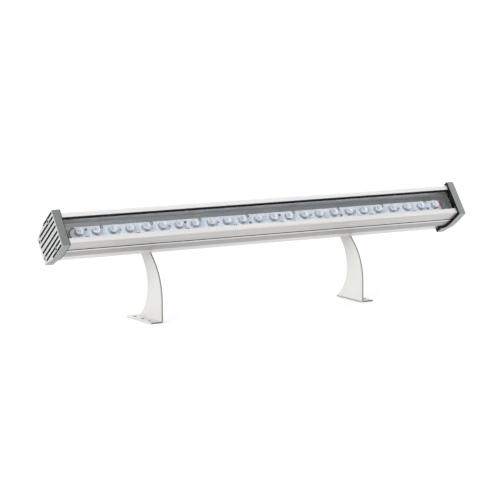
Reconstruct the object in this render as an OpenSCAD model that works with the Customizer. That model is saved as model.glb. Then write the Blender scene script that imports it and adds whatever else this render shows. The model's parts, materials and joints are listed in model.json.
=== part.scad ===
// Outdoor LED wall washer: a glazed bar that tilts on two curved sheet brackets.
// Units are millimetres. X runs along the bar, Y points away from the viewer, Z is up.
// The origin lies under the bar, in the middle of the round foot holes, on the surface below the feet.
// The head has a frame of its own: X along the bar, Y back from the front face, Z up across the glass.

/* [Bar] */
// Length of the bar over both end caps
bar_l = 1000; // [760:20:1200]
// How far the glass leans back from upright, in degrees
tilt = 37; // [35:1:80]

/* [Housing extrusion] */
// Height of the housing across its front
body_w = 73; // [70:0.5:80]
// Depth of the housing from front to back
body_d = 92.2; // [90:0.1:100]
// Depth of the straight side walls
side_d = 36.2; // [35:0.1:38]
// Depth of the part that tapers towards the rear leg
taper_d = 44; // [40:0.5:46]
// Height of the narrow rear leg
leg_w = 48; // [46:0.5:54]
// Thickness of the outer walls
skin_t = 2.5; // [1.8:0.1:3]
// Thickness of the inner webs
web_t = 2; // [1.5:0.1:2.4]
// Thickness of the floor that carries the LED boards
floor_t = 4; // [3:0.1:5]
// Depth of the LED channel from the front of the housing to its floor
channel_d = 29.2; // [28.5:0.1:30]
// Height of each front lip
lip_w = 11.7; // [11:0.1:12.5]
// Thickness of each front lip
lip_t = 2.5; // [1.5:0.1:3]
// Radius of the outer front corners
front_r = 1.2; // [0.5:0.1:2]
// Width of the shadow groove along each side wall
groove_w = 2; // [1:0.1:2.2]
// Depth of the shadow groove
groove_d = 0.8; // [0.4:0.1:1.2]

/* [Rear rail] */
// Width of the slot opening at the back
rail_open_w = 20; // [16:0.5:22]
// Width of the channel behind the slot
rail_w = 31; // [29:0.5:31]
// Depth of that channel
rail_d = 10; // [9:0.5:11]
// Thickness of the two lips that hold the slide nut
rail_lip_t = 3; // [2:0.5:4]
// Thickness of the wall between the rail and the driver space
rear_wall_t = 3; // [2:0.5:4]

/* [Glass and seals] */
// Thickness of the front glass
glass_t = 4; // [3:0.5:5]
// Height of the front glass
glass_w = 57; // [54:0.5:58]
// Thickness of the rubber in front of and behind the glass
seal_t = 0.7; // [0.5:0.1:1.2]
// Height of the upper rubber seal; the lower one ends at the same depth under its lip
seal_w = 8; // [7:0.5:8.5]
// How far the upper seal shows below its lip
seal_show = 2.8; // [1.5:0.1:3.2]
// How far the lower seal shows above its lip
low_seal_show = 1.2; // [0.8:0.1:3.2]

/* [LED row] */
// Distance from one LED to the next
led_pitch = 38.6; // [34:0.1:50]
// How far the row sits towards the cable end
led_shift = 1.8; // [0:0.1:4]
// Height of the LED boards
board_w = 27; // [24:0.5:34]
// Thickness of the LED boards
board_t = 1.6; // [1:0.1:2]
// Diameter of a lens
lens_d = 17.5; // [14:0.5:20]
// Height of a lens over the board
lens_h = 10; // [8.5:0.5:12]
// Wall of the round lens holders
holder_t = 0.9; // [0.6:0.1:1.5]
// Side of an LED emitter
emitter_w = 3.5; // [2.5:0.1:5]

/* [End caps] */
// Thickness of an end cap
cap_t = 17; // [15:0.5:24]
// How far a cap stands out beyond the housing at the sides
cap_over = 5.5; // [5:0.1:6]
// How far a cap stands out beyond the rear leg
cap_leg_over = 7; // [6.8:0.1:8]
// How far a cap stands out behind the housing
cap_back_over = 3.5; // [3:0.1:6]
// How far a cap stands out in front of the housing
cap_front = 3.8; // [3:0.1:5]
// Chamfer around the outer face of a cap
cap_chamfer = 1; // [0.5:0.1:1.4]
// Thickness of the gasket behind a cap
gasket_t = 1.5; // [1:0.1:3]
// Width of the slots in a cap
slot_w = 5.2; // [4:0.1:5.2]
// Depth of the slots in a cap
slot_d = 11; // [6:0.5:12]
// Diameter of the cap screws
cap_screw_d = 4; // [3:0.5:4]
// Length of the cap screws under the head
cap_screw_l = 26; // [22:1:32]

/* [Driver] */
// Length of the LED driver
driver_l = 300; // [240:10:320]
// Width of the driver cover
driver_w = 50; // [46:1:50]
// Height of the driver over its base plate
driver_h = 30; // [26:1:32]
// Thickness of the driver's sheet
driver_t = 1.5; // [1:0.1:2]

/* [Cable gland] */
// Thread diameter of the cable gland
gland_d = 16; // [12:0.5:16]
// Width over the flats of the gland
gland_flats = 20; // [19:0.5:22]
// Diameter of the cable that the gland takes
cable_d = 7.5; // [6:0.5:8]
// Length of the gland thread
gland_thread_l = 24; // [23:0.5:28]

/* [Brackets] */
// Distance between the outer faces of the two arms
arm_span = 507; // [440:5:560]
// Thickness of the bracket sheet
sheet_t = 3; // [2:0.5:4]
// Height of the tilt axis over the surface
pivot_h = 153.8; // [150:0.1:170]
// Distance from the front of the arms back to the tilt axis
pivot_back = 84.5; // [80:0.5:88]
// Radius of the rounded top of an arm
arm_top_r = 16.5; // [15:0.5:18]
// Radius of the curved front edge
arm_front_r = 116.5; // [112:0.5:125]
// Length of the straight edge between the curved front and the rounded top
arm_front_l = 53.5; // [45:0.5:60]
// Radius of the upper part of the curved back edge
arm_back_r = 88; // [84:0.5:90]
// Radius of the lower part of the curved back edge
arm_low_r = 77.5; // [76:0.5:82]
// Height of the narrowest place of an arm
arm_waist_h = 71; // [68:0.5:74]
// Width of an arm at its narrowest place
arm_waist_w = 62.8; // [58:0.5:66]
// Length of a foot
foot_l = 110; // [106:1:125]
// Width of a foot over the bend
foot_w = 29.5; // [26:0.5:40]
// Outer radius of the bend between arm and foot
bend_r = 4.5; // [4:0.5:6]
// Diameter of the round foot holes
foot_hole_d = 7; // [5:0.5:9]
// Distance between the foot holes along a foot
foot_hole_gap = 33; // [28:1:36]
// Distance from the front of a foot to its first hole
foot_hole_front = 22.5; // [18:0.5:26]
// Distance from the outer face of an arm to the foot holes
foot_hole_out = 17.2; // [13:0.2:18]
// Length of the slot in a foot, end to end
foot_slot_l = 10; // [8:0.5:13]

/* [Tilt joint] */
// Diameter of the pivot bolts
pivot_d = 8; // [6:0.5:8]
// Distance of the tilt axis behind the back of the housing
pivot_out = 28; // [26:0.5:32]
// Distance of the tilt axis above the middle line of the housing
pivot_up = 9; // [7:0.5:10]
// Thickness of a mount lug
lug_t = 4; // [3:0.5:5]
// Height of a lug's base
lug_w = 40; // [36:1:44]
// Length of a lug's base along the rail
lug_l = 40; // [34:1:50]
// Radius of a lug's round end
lug_r = 15; // [12:0.5:16]
// Thickness of the washer between arm and lug
washer_t = 1.5; // [1:0.1:2]
// Diameter of the lug screws
lug_screw_d = 5; // [4:0.5:6]
// Thickness of a slide nut
slide_nut_t = 5; // [4:0.5:7]

/* [Hidden] */

$fn = 64;
// Gap between loose parts, and radial gap of a bolt in its hole
gap = 0.3;
fit = 0.05;
// How far every cutting shape runs past the face that it cuts
over = 1;

// Places along the depth of the head, measured back from the front of the caps
v_front = cap_front;
v_lip = v_front + lip_t;
v_glass = v_lip + seal_t;
v_glass_back = v_glass + glass_t;
v_ledge = v_glass_back + seal_t;
v_pocket = v_ledge + web_t;
v_floor = v_front + channel_d;
v_floor_back = v_floor + floor_t;
v_shoulder = v_front + side_d;
v_leg = v_shoulder + taper_d;
v_back = v_front + body_d;
v_rail_lip = v_back - rail_lip_t;
v_rail = v_rail_lip - rail_d;
v_space_back = v_rail - rear_wall_t;
v_board = v_floor - board_t;
v_lens = v_board - lens_h;
v_lug = v_back + lug_t;
v_pivot = v_back + pivot_out;

// Heights across the head, measured from its middle line
body_hw = body_w / 2;
leg_hw = leg_w / 2;
channel_hw = body_hw - lip_w;
glass_hw = glass_w / 2;
slot_hw = channel_hw - seal_show + seal_w;
space_hw = body_hw - skin_t;

// Share of the depth and share of the narrowing for each point of the tapered side
taper_shares = [[0, 0], [0.22, 0.05], [0.4, 0.14], [0.54, 0.26], [0.67, 0.43], [0.8, 0.67],
    [0.9, 0.88], [0.95, 0.97], [1, 1]];

// Places along the bar
cap_in_x = bar_l / 2 - cap_t;
body_end_x = cap_in_x - gasket_t;
body_l = 2 * body_end_x;

// LED boards: each holds as many LEDs as half the bar has room for
board_end_room = 16;
leds_per_board = floor((body_end_x - board_end_room) / led_pitch);
led_count = 2 * leds_per_board;
board_l = leds_per_board * led_pitch;
function led_x(i) = led_shift + (i - (led_count - 1) / 2) * led_pitch;

// Small parts on the boards, as lengths and as counts of LED pitches from the first LED
part_h = 1.2;
resistor_l = 3;
resistor_w = 1.6;
resistor_gap = 5;
resistor_low = 10;
ring_d = 6;
ring_wall = 0.9;
ring_right = 17;
ring_up = 9.8;
pad_w = 4.5;
pad_h = 2.6;
pad_t = 0.3;
pad_up = 9;
dot_d = 3.2;
link_gap = 7;
group_of_leds = 3;
board_screw_d = 3;
board_screw_head_d = 5.6;
board_screw_head_h = 2;
board_screw_l = 5;
board_screw_up = 6.5;
// For each board screw its share, in LED pitches from the first LED, and whether it sits high (1)
// or low (-1)
board_screw_shares = [[0.5, 1], [6.5, 1], [10.5, -1], [led_count - 11.5, 1], [led_count - 7.5, -1],
    [led_count - 1.5, -1]];

// Emitters and lenses
emitter_h = 1.8;
lens_rim_h = 1;
lens_foot_d = 8;
lens_air = 0.6;
dimple_d = 9;
dimple_depth = 2.2;

// Feed: at each end of the board row one lead leaves a terminal, loops round the end of the board
// and goes down through a grommet beside it; lengths along the bar count from the middle of the row
lead_d = 2.4;
lead_bend_r = 3;
terminal_l = 6;
terminal_w = 3.6;
terminal_h = 3;
terminal_up = 11.3;
terminal_gap = 1;
loop_in = 11.5;
loop_x = board_l - loop_in;
grommet_d = 7;
grommet_flange = 1.2;
grommet_flange_t = 1.5;
grommet_hole_d = 3.4;
grommet_x = loop_x - lead_bend_r;
grommet_low = (channel_hw + board_w / 2) / 2;
loop_r = (terminal_up + grommet_low) / 2;
v_lead = v_board - terminal_h / 2;

// Cap screws sit between the slots of the caps and enter ports of the housing
port_wall = 1.9;
port_low_v = v_floor - web_t;
port_low_w = space_hw - cap_screw_d / 2 + 0.1 * cap_screw_d;
port_leg_v = v_back - port_wall - cap_screw_d / 2 - 2 * fit - web_t / 2;
port_leg_w = (rail_w / 2 + leg_hw) / 2;
port_half_places = [[port_low_v, port_low_w], [port_leg_v, port_leg_w]];
port_places = [for (side = [-1, 1]) for (p = port_half_places) [p.x, side * p.y]];
screw_head_d = 1.8 * cap_screw_d;
screw_head_h = 3;
screw_socket_d = 0.6 * cap_screw_d;
boss_r = screw_head_d / 2 + 1.4;

// Slots of the caps: place across the cap as a share of its half height, end as a share of its depth
cap_hw = body_hw + cap_over;
cap_back = v_back + cap_back_over;
cap_slot_shares = [[0.155, 0.943], [0.413, 0.91], [0.66, 0.87], [0.9, 0.565]];
cap_slot_front = 3.3;

// Driver, in the space behind the floor, its middle at a share of the bar's length
driver_share = 0.15;
driver_x = driver_share * bar_l;
driver_base_t = 2;
driver_base_hw = space_hw - gap;
driver_flange_w = 5;
rib_w = 2.2;
rib_t = 1.8;
driver_screw_d = 3;
driver_screw_head_d = 4.6;
driver_screw_head_h = 1.6;
driver_screw_in = 12;
pcb_t = 1.6;
pcb_stand_h = 4;
pcb_stand_d = 5;
pcb_edge = 3;
v_driver = v_floor_back + driver_base_t;
v_pcb = v_driver + pcb_stand_h;

// Terminal block near the gland
block_l = 28;
block_w = 30;
block_h = 14;
block_in = 62;
block_x = body_end_x - block_in;
mains_lead_d = 2.6;

// Cable gland
gland_v = (v_floor_back + v_space_back) / 2;
gland_r = gland_d / 2;
gland_bore_r = cable_d / 2 + 1.6;
gland_pad_r = gland_flats / 2 + 3;
gland_hex_l = 5;
gland_dome_l = 16;
gland_seat_l = 10;
gland_mouth_r = cable_d / 2 + 1;
locknut_l = 4;

// Brackets
arm_x = arm_span / 2;
arm_in_x = arm_x - sheet_t;
foot_hole_mid = foot_hole_front + foot_hole_gap / 2;
foot_front_y = -foot_hole_mid;
foot_back_y = foot_front_y + foot_l;
foot_corner_r = 3;
foot_hole_x = sheet_t + foot_hole_out;
pivot_y = foot_front_y + pivot_back;
arm_pivot = [pivot_y, pivot_h];
// The front curve starts as low as its radius and the straight edge above it ask for
function square_of(a) = a * a;
front_drop = sqrt(square_of(arm_front_r - arm_top_r) + square_of(arm_front_l)
    - square_of(arm_front_r - pivot_back));
front_c = [foot_front_y + arm_front_r, pivot_h - front_drop];
back_c = [foot_front_y + arm_waist_w + arm_back_r, arm_waist_h];
low_c = [foot_front_y + arm_waist_w + arm_low_r, arm_waist_h];

// Tilt joint
lug_in_x = arm_in_x - washer_t;
ear_in_x = lug_in_x - lug_t;
base_in_x = lug_in_x - lug_l;
pivot_flats = 1.625 * pivot_d;
pivot_head_l = 0.66 * pivot_d;
pivot_nut_l = 0.8 * pivot_d;
washer_d = 2 * pivot_d;
lug_screw_shares = [0.4, 0.8];
lug_screw_head_d = 1.7 * lug_screw_d;
lug_screw_head_h = 0.6 * lug_screw_d;
slide_nut_gap = gap;

// Colours
aluminium = "#c9cac7";
cast = "#dce1de";
rubber = "#26282a";
board_blue = "#c3cdd6";
clear_white = "#eef0f6";
steel = "#a9abad";
sheet_white = "#e3e2de";
brass = "#b9a25c";
black = "#2b2c2e";
red = "#b32a24";

// Unit vector at an angle, and the points of an arc from one angle to another
function dir(a) = [cos(a), sin(a)];
arc_steps = 24;
function arc(c, r, from, to, steps = arc_steps) =
    [for (i = [0 : steps]) c + r * dir(from + (to - from) * i / steps)];
// Angle of the direction from one point to another
function bearing(p, q) = atan2(q.y - p.y, q.x - p.x);

// Half outline of the housing or a cap, as [depth, half height], from the front to the back
function half_outline(front, back, hw, leg) =
    concat([[front, hw - front_r]],
        arc([front + front_r, hw - front_r], front_r, 180, 90, 6),
        [for (s = taper_shares) [v_shoulder + s.x * taper_d, hw - s.y * (hw - leg)]],
        [[back, leg]]);
function mirrored(points) =
    concat(points, [for (i = [len(points) - 1 : -1 : 0]) [points[i].x, -points[i].y]]);

// Stands a drawing of depth and height up in the head, and draws it out along the bar
module along_bar(x0, x1) {
    translate([x0, 0, 0]) rotate([90, 0, 90]) linear_extrude(x1 - x0) children();
}
// A block of the head between two places along the bar, in depth and in height
module block(x, v, w) {
    translate([x[0], v[0], w[0]]) cube([x[1] - x[0], v[1] - v[0], w[1] - w[0]]);
}
// A round bar along X or along the depth of the head
module rod_x(x0, x1, r, v = 0, w = 0, sides = $fn) {
    translate([x0, v, w]) rotate([90, 0, 90]) cylinder(h = x1 - x0, r = r, $fn = sides);
}
module rod_v(v0, v1, r, x = 0, w = 0, sides = $fn) {
    translate([x, v0, w]) rotate([-90, 0, 0]) cylinder(h = v1 - v0, r = r, $fn = sides);
}
// Turns the head's own frame to its place on the brackets
module in_head() {
    translate([0, pivot_y, pivot_h]) rotate([-tilt, 0, 0]) translate([0, -v_pivot, -pivot_up])
        children();
}
module both_sides() {
    children();
    mirror([1, 0, 0]) children();
}
module both_heights() {
    children();
    mirror([0, 0, 1]) children();
}

// Housing extrusion: channel with glass slots, driver space, screw ports and rear rail
module housing_section() {
    difference() {
        polygon(mirrored(half_outline(v_front, v_back, body_hw, leg_hw)));
        translate([v_front - over, -channel_hw]) square([channel_d + over, 2 * channel_hw]);
        translate([v_lip, -slot_hw]) square([v_ledge - v_lip, 2 * slot_hw]);
        for (side = [-1, 1]) side_pocket(side);
        driver_space();
        translate([v_rail, -rail_w / 2]) square([rail_d, rail_w]);
        translate([v_rail, -rail_open_w / 2]) square([v_back - v_rail + over, rail_open_w]);
        for (p = port_places) translate(p) circle(cap_screw_d / 2 + fit);
        for (side = [-1, 1])
            translate([port_low_v + groove_w / 2, side * body_hw])
                square([groove_w, 2 * groove_d], center = true);
    }
}
module side_pocket(side) {
    pocket_w = space_hw - channel_hw - web_t;
    difference() {
        translate([v_pocket, side * (space_hw - pocket_w / 2) - pocket_w / 2])
            square([v_floor - v_pocket, pocket_w]);
        translate([port_low_v, side * port_low_w]) circle(cap_screw_d / 2 + port_wall);
    }
}
module driver_space() {
    difference() {
        intersection() {
            polygon(mirrored(half_outline(v_front, v_back, space_hw, leg_hw - skin_t)));
            translate([v_floor_back, -body_hw]) square([v_space_back - v_floor_back, body_w]);
        }
        for (side = [-1, 1])
            translate([v_driver + gap, side * (space_hw - rib_w / 2) - rib_w / 2]) square([rib_t, rib_w]);
    }
}
module housing_extrusion() {
    color(aluminium) in_head() difference() {
        along_bar(-body_end_x, body_end_x) housing_section();
        at_grommets() rod_v(v_floor - over, v_floor_back + over, grommet_d / 2 + fit);
        for (p = board_screw_shares)
            board_screw_at(p) rod_v(v_board, v_floor_back + over, board_screw_d / 2 + fit);
    }
}

// Front glass and its two rubber seals
module front_glass() {
    color(clear_white, 0.35) in_head()
        block([-body_end_x, body_end_x], [v_glass, v_glass_back], [-glass_hw, glass_hw]);
}
module glass_seal(show) {
    in_w = channel_hw - show;
    difference() {
        block([-body_end_x, body_end_x], [v_lip, v_ledge], [in_w, slot_hw]);
        block([-body_end_x - over, body_end_x + over], [v_glass, v_glass_back], [in_w - over, glass_hw]);
    }
}
module upper_glass_seal() {
    color(rubber) in_head() glass_seal(seal_show);
}
module lower_glass_seal() {
    color(rubber) in_head() mirror([0, 0, 1]) glass_seal(low_seal_show);
}

// LED boards, end to end on the floor of the channel
module led_board(x0) {
    difference() {
        block([x0, x0 + board_l], [v_board, v_floor], [-board_w / 2, board_w / 2]);
        for (p = board_screw_shares)
            board_screw_at(p) rod_v(v_board - over, v_floor + over, board_screw_d / 2 + fit);
    }
}
module left_led_board() {
    color(board_blue) in_head() led_board(led_shift - board_l);
}
module right_led_board() {
    color(board_blue) in_head() led_board(led_shift);
}
// Solder strips that join the two boards
module board_links() {
    color(clear_white) in_head() both_heights()
        block([led_shift - pad_w, led_shift + pad_w], [v_board - pad_t, v_board],
            [link_gap / 2, link_gap / 2 + pad_h]);
}
module led_emitters() {
    color(brass) in_head() for (i = [0 : led_count - 1])
        block([led_x(i) - emitter_w / 2, led_x(i) + emitter_w / 2], [v_board - emitter_h, v_board],
            [-emitter_w / 2, emitter_w / 2]);
}
// Round lens holder, a short tube on the board
module lens_holders() {
    color(board_blue) in_head() for (i = [0 : led_count - 1])
        difference() {
            rod_v(v_lens + lens_rim_h, v_board, lens_d / 2, led_x(i));
            rod_v(v_lens, v_board + over, lens_d / 2 - holder_t, led_x(i));
        }
}
// Lens, a solid cone of clear plastic with a rim and a dimple in its face
module lens() {
    cone_top_r = lens_d / 2 - holder_t - fit;
    foot_h = emitter_h + lens_air;
    rotate([90, 0, 0]) rotate_extrude()
        polygon([[0, foot_h], [lens_foot_d / 2, foot_h], [cone_top_r, lens_h - lens_rim_h],
            [lens_d / 2, lens_h - lens_rim_h], [lens_d / 2, lens_h], [dimple_d / 2, lens_h],
            [0, lens_h - dimple_depth]]);
}
module lenses() {
    color(clear_white) in_head() for (i = [0 : led_count - 1])
        translate([led_x(i), v_board, 0]) lens();
}

// Small parts: a ring, two resistors, two pads and a dot in each group of LEDs
module board_components() {
    color(black) in_head() for (i = [0 : group_of_leds : led_count - 1]) {
        for (k = [-1, 1])
            translate([led_x(i + 0.5) + k * resistor_gap / 2, 0, -resistor_low])
                block([-resistor_w / 2, resistor_w / 2], [v_board - part_h, v_board],
                    [-resistor_l / 2, resistor_l / 2]);
        if (i + 1 < led_count) component_ring(led_x(i + 1) + ring_right);
        if (i + group_of_leds < led_count) component_pads(led_x(i + 2.5));
    }
}
module component_ring(x) {
    difference() {
        rod_v(v_board - part_h, v_board, ring_d / 2, x, ring_up);
        rod_v(v_board - part_h - over, v_board + over, ring_d / 2 - ring_wall, x, ring_up);
    }
}
module component_pads(x) {
    both_heights() block([x - pad_w / 2, x + pad_w / 2], [v_board - pad_t, v_board],
        [pad_up - pad_h / 2, pad_up + pad_h / 2]);
    if (abs(x - led_shift) > dot_d) rod_v(v_board - part_h, v_board, dot_d / 2, x);
}
// Place of a board screw
module board_screw_at(place) {
    translate([led_x(place[0]), 0, place[1] * board_screw_up]) children();
}
module board_screws() {
    color(steel) in_head() for (p = board_screw_shares) board_screw_at(p) difference() {
        union() {
            rod_v(v_board - board_screw_head_h, v_board, board_screw_head_d / 2);
            rod_v(v_board - fit, v_board + board_screw_l, board_screw_d / 2);
        }
        rod_v(v_board - board_screw_head_h - over, v_board - board_screw_head_h / 2,
            board_screw_d / 4 + fit, sides = 6);
    }
}

// Feed terminals, one at each end of the board row
module both_row_ends() {
    translate([led_shift, 0, 0]) {
        children();
        mirror([1, 0, 0]) children();
    }
}
module at_grommets() {
    both_row_ends() translate([grommet_x, 0, -grommet_low]) children();
}
module feed_terminals() {
    color(clear_white) in_head() both_row_ends() difference() {
        block([loop_x - terminal_gap - terminal_l, loop_x - terminal_gap], [v_board - terminal_h, v_board],
            [terminal_up - terminal_w / 2, terminal_up + terminal_w / 2]);
        rod_x(loop_x - terminal_gap - terminal_l / 2, loop_x + over, lead_d / 2 + fit, v_lead, terminal_up);
    }
}
// A lead: out of its terminal, half a loop round the end of the board, down through the grommet,
// round again and along to the driver, which ends at the given place
module feed_lead(driver_end) {
    v_low = v_pcb + driver_h / 3;
    rod_x(loop_x - terminal_gap - terminal_l / 2, loop_x, lead_d / 2, v_lead, terminal_up);
    translate([loop_x, v_lead, terminal_up - loop_r]) rotate([90, 0, 0]) lead_bend(loop_r, -90, 180);
    translate([loop_x, v_lead + lead_bend_r, -grommet_low]) lead_bend(lead_bend_r, -180, 90);
    rod_v(v_lead + lead_bend_r, v_low - lead_bend_r, lead_d / 2, grommet_x, -grommet_low);
    translate([grommet_x - lead_bend_r, v_low - lead_bend_r, -grommet_low]) lead_bend(lead_bend_r, 0, 90);
    rod_x(driver_end + gap, grommet_x - lead_bend_r, lead_d / 2, v_low, -grommet_low);
}
module lead_bend(r, from, turn) {
    rotate([0, 0, from]) rotate_extrude(angle = turn) translate([r, 0]) circle(lead_d / 2);
}
module red_feed_lead() {
    color(red) in_head() translate([led_shift, 0, 0]) feed_lead(driver_x + driver_l / 2 - led_shift);
}
module black_feed_lead() {
    color(black) in_head() translate([led_shift, 0, 0]) mirror([1, 0, 0])
        feed_lead(led_shift - driver_x + driver_l / 2);
}
module wire_grommets() {
    color(rubber) in_head() at_grommets() difference() {
        union() {
            rod_v(v_floor, v_floor_back, grommet_d / 2);
            rod_v(v_floor - grommet_flange_t, v_floor, grommet_d / 2 + grommet_flange);
        }
        rod_v(v_floor - grommet_flange_t - over, v_floor_back + over, grommet_hole_d / 2 + fit);
    }
}

// Driver: base plate held under the ribs of the housing, cover, circuit board and its parts
module driver_base() {
    color(steel) in_head() difference() {
        union() {
            block([driver_x - driver_l / 2, driver_x + driver_l / 2], [v_floor_back, v_driver],
                [-driver_base_hw, driver_base_hw]);
            pcb_stands() rod_v(v_driver - fit, v_pcb, pcb_stand_d / 2);
        }
        driver_screw_places() rod_v(v_floor_back - over, v_driver + over, driver_screw_d / 2 + fit);
        pcb_stands() rod_v(v_floor_back - over, v_pcb + over, driver_screw_d / 2 + fit);
    }
}
module pcb_stands() {
    for (x = [-1, 1]) for (w = [-1, 1])
        translate([driver_x + x * (driver_l / 2 - 2 * driver_screw_in), 0,
            w * (driver_w / 2 - driver_t - pcb_edge - pcb_stand_d / 2)]) children();
}
module driver_screw_places() {
    for (x = [-1, 1]) for (w = [-1, 1])
        translate([driver_x + x * (driver_l / 2 - driver_screw_in), 0,
            w * (driver_w / 2 + driver_flange_w / 2)]) children();
}
module driver_cover() {
    half_l = driver_l / 2;
    half_w = driver_w / 2;
    color(aluminium) in_head() difference() {
        union() {
            block([driver_x - half_l, driver_x + half_l], [v_driver, v_driver + driver_h], [-half_w, half_w]);
            block([driver_x - half_l, driver_x + half_l], [v_driver, v_driver + driver_t],
                [-half_w - driver_flange_w, half_w + driver_flange_w]);
        }
        block([driver_x - half_l + driver_t, driver_x + half_l - driver_t],
            [v_driver - over, v_driver + driver_h - driver_t], [-half_w + driver_t, half_w - driver_t]);
        driver_screw_places() rod_v(v_driver - over, v_driver + driver_t + over, driver_screw_d / 2 + fit);
    }
}
module driver_circuit_board() {
    half_l = driver_l / 2 - driver_t - pcb_edge;
    half_w = driver_w / 2 - driver_t - gap;
    color("#4d7a52") in_head() difference() {
        block([driver_x - half_l, driver_x + half_l], [v_pcb, v_pcb + pcb_t], [-half_w, half_w]);
        pcb_stands() rod_v(v_pcb - over, v_pcb + pcb_t + over, driver_screw_d / 2 + fit);
    }
}
// Transformer, choke, capacitors and heat sink, at shares of the driver's length
transformer_share = 0.08;
choke_share = -0.14;
heat_sink_share = 0.3;
capacitor_shares = [-0.36, -0.3, 0.2];
module driver_components() {
    v0 = v_pcb + pcb_t;
    room = v_driver + driver_h - driver_t - v0;
    tall = 0.9 * room;
    color(black) in_head() {
        translate([driver_x + transformer_share * driver_l, 0, 0])
            block([-tall / 2, tall / 2], [v0, v0 + tall], [-tall / 2, tall / 2]);
        translate([driver_x + choke_share * driver_l, 0, 0]) difference() {
            rod_v(v0, v0 + tall / 2, tall / 2);
            rod_v(v0 - over, v0 + tall, tall / 5);
        }
        translate([driver_x + heat_sink_share * driver_l, 0, 0])
            block([-tall, tall], [v0, v0 + tall], [tall / 2, tall / 2 + driver_t]);
        for (s = capacitor_shares) rod_v(v0, v0 + tall, tall / 4, driver_x + s * driver_l, -tall / 2);
    }
}
module driver_screws() {
    v_head = v_driver + driver_t;
    color(steel) in_head() {
        driver_screw_places() {
            rod_v(v_head, v_head + driver_screw_head_h, driver_screw_head_d / 2);
            rod_v(v_floor_back, v_head + fit, driver_screw_d / 2);
        }
        pcb_stands() {
            rod_v(v_pcb + pcb_t, v_pcb + pcb_t + driver_screw_head_h, driver_screw_head_d / 2);
            rod_v(v_driver, v_pcb + pcb_t + fit, driver_screw_d / 2);
        }
    }
}

// Terminal block for the mains, and three leads from it to the driver
module mains_terminal_block() {
    color(clear_white) in_head() difference() {
        block([block_x - block_l / 2, block_x + block_l / 2], [v_floor_back, v_floor_back + block_h],
            [-block_w / 2, block_w / 2]);
        for (k = [-1 : 1]) {
            rod_v(v_floor_back + block_h / 2, v_floor_back + block_h + over, block_w / 12, block_x,
                k * block_w / 3);
            rod_x(block_x - block_l / 2 - over, block_x + block_l / 2 + over, mains_lead_d / 2 + fit,
                v_floor_back + block_h / 2 - mains_lead_d / 2, k * block_w / 3);
        }
    }
}
module mains_leads() {
    color("#6b5a3a") in_head() for (k = [-1 : 1])
        rod_x(driver_x + driver_l / 2 + gap, block_x - block_l / 4, mains_lead_d / 2,
            v_floor_back + block_h / 2 - mains_lead_d / 2, k * block_w / 3);
}

// Cast end cap: a thick plate with long slots, four screw bosses and a chamfered rim
module cap_outline(inset) {
    polygon(mirrored(half_outline(inset, cap_back - inset, cap_hw - inset, leg_hw + cap_leg_over - inset)));
}
module cap_slots() {
    difference() {
        for (side = [-1, 1]) for (s = cap_slot_shares) {
            translate([cap_slot_front + slot_w / 2, side * s.x * cap_hw - slot_w / 2])
                square([s.y * cap_back - cap_slot_front - slot_w, slot_w]);
            for (v = [cap_slot_front + slot_w / 2, s.y * cap_back - slot_w / 2])
                translate([v, side * s.x * cap_hw]) circle(slot_w / 2);
        }
        for (p = port_places) translate(p) circle(boss_r);
        children();
    }
}
module end_cap() {
    out_x = cap_in_x + cap_t;
    difference() {
        hull() {
            along_bar(cap_in_x, out_x - cap_chamfer) cap_outline(0);
            along_bar(out_x - 2 * cap_chamfer, out_x) cap_outline(cap_chamfer);
        }
        along_bar(out_x - slot_d, out_x + over) cap_slots() children();
        for (p = port_places) {
            rod_x(cap_in_x - over, out_x + over, cap_screw_d / 2 + fit, p.x, p.y);
            rod_x(out_x - screw_head_h, out_x + over, screw_head_d / 2 + gap, p.x, p.y);
        }
    }
}
module left_end_cap() {
    color(cast) in_head() mirror([1, 0, 0]) end_cap();
}
// The right cap has a flat round pad and a threaded hole for the cable gland
module right_end_cap() {
    color(cast) in_head() difference() {
        end_cap() translate([gland_v, 0]) circle(gland_pad_r);
        rod_x(cap_in_x - over, cap_in_x + cap_t + over, gland_r + fit, gland_v);
    }
}
// Rubber gasket of the cap's full outline, open over the driver space and the ports
module cap_gasket() {
    difference() {
        along_bar(body_end_x, cap_in_x) cap_outline(0);
        along_bar(body_end_x - over, cap_in_x + over) driver_space();
        for (p = port_places) rod_x(body_end_x - over, cap_in_x + over, cap_screw_d / 2 + fit, p.x, p.y);
    }
}
module left_cap_gasket() {
    color(rubber) in_head() mirror([1, 0, 0]) cap_gasket();
}
module right_cap_gasket() {
    color(rubber) in_head() cap_gasket();
}
// Socket head screws, four at each cap
module cap_screws() {
    head_x = cap_in_x + cap_t - screw_head_h;
    for (p = port_places) difference() {
        union() {
            rod_x(head_x, head_x + screw_head_h, screw_head_d / 2, p.x, p.y);
            rod_x(head_x - cap_screw_l, head_x + fit, cap_screw_d / 2, p.x, p.y);
        }
        rod_x(head_x + screw_head_h / 3, head_x + screw_head_h + over, screw_socket_d / 2, p.x, p.y, 6);
    }
}
module left_cap_screws() {
    color(steel) in_head() mirror([1, 0, 0]) cap_screws();
}
module right_cap_screws() {
    color(steel) in_head() cap_screws();
}

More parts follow.
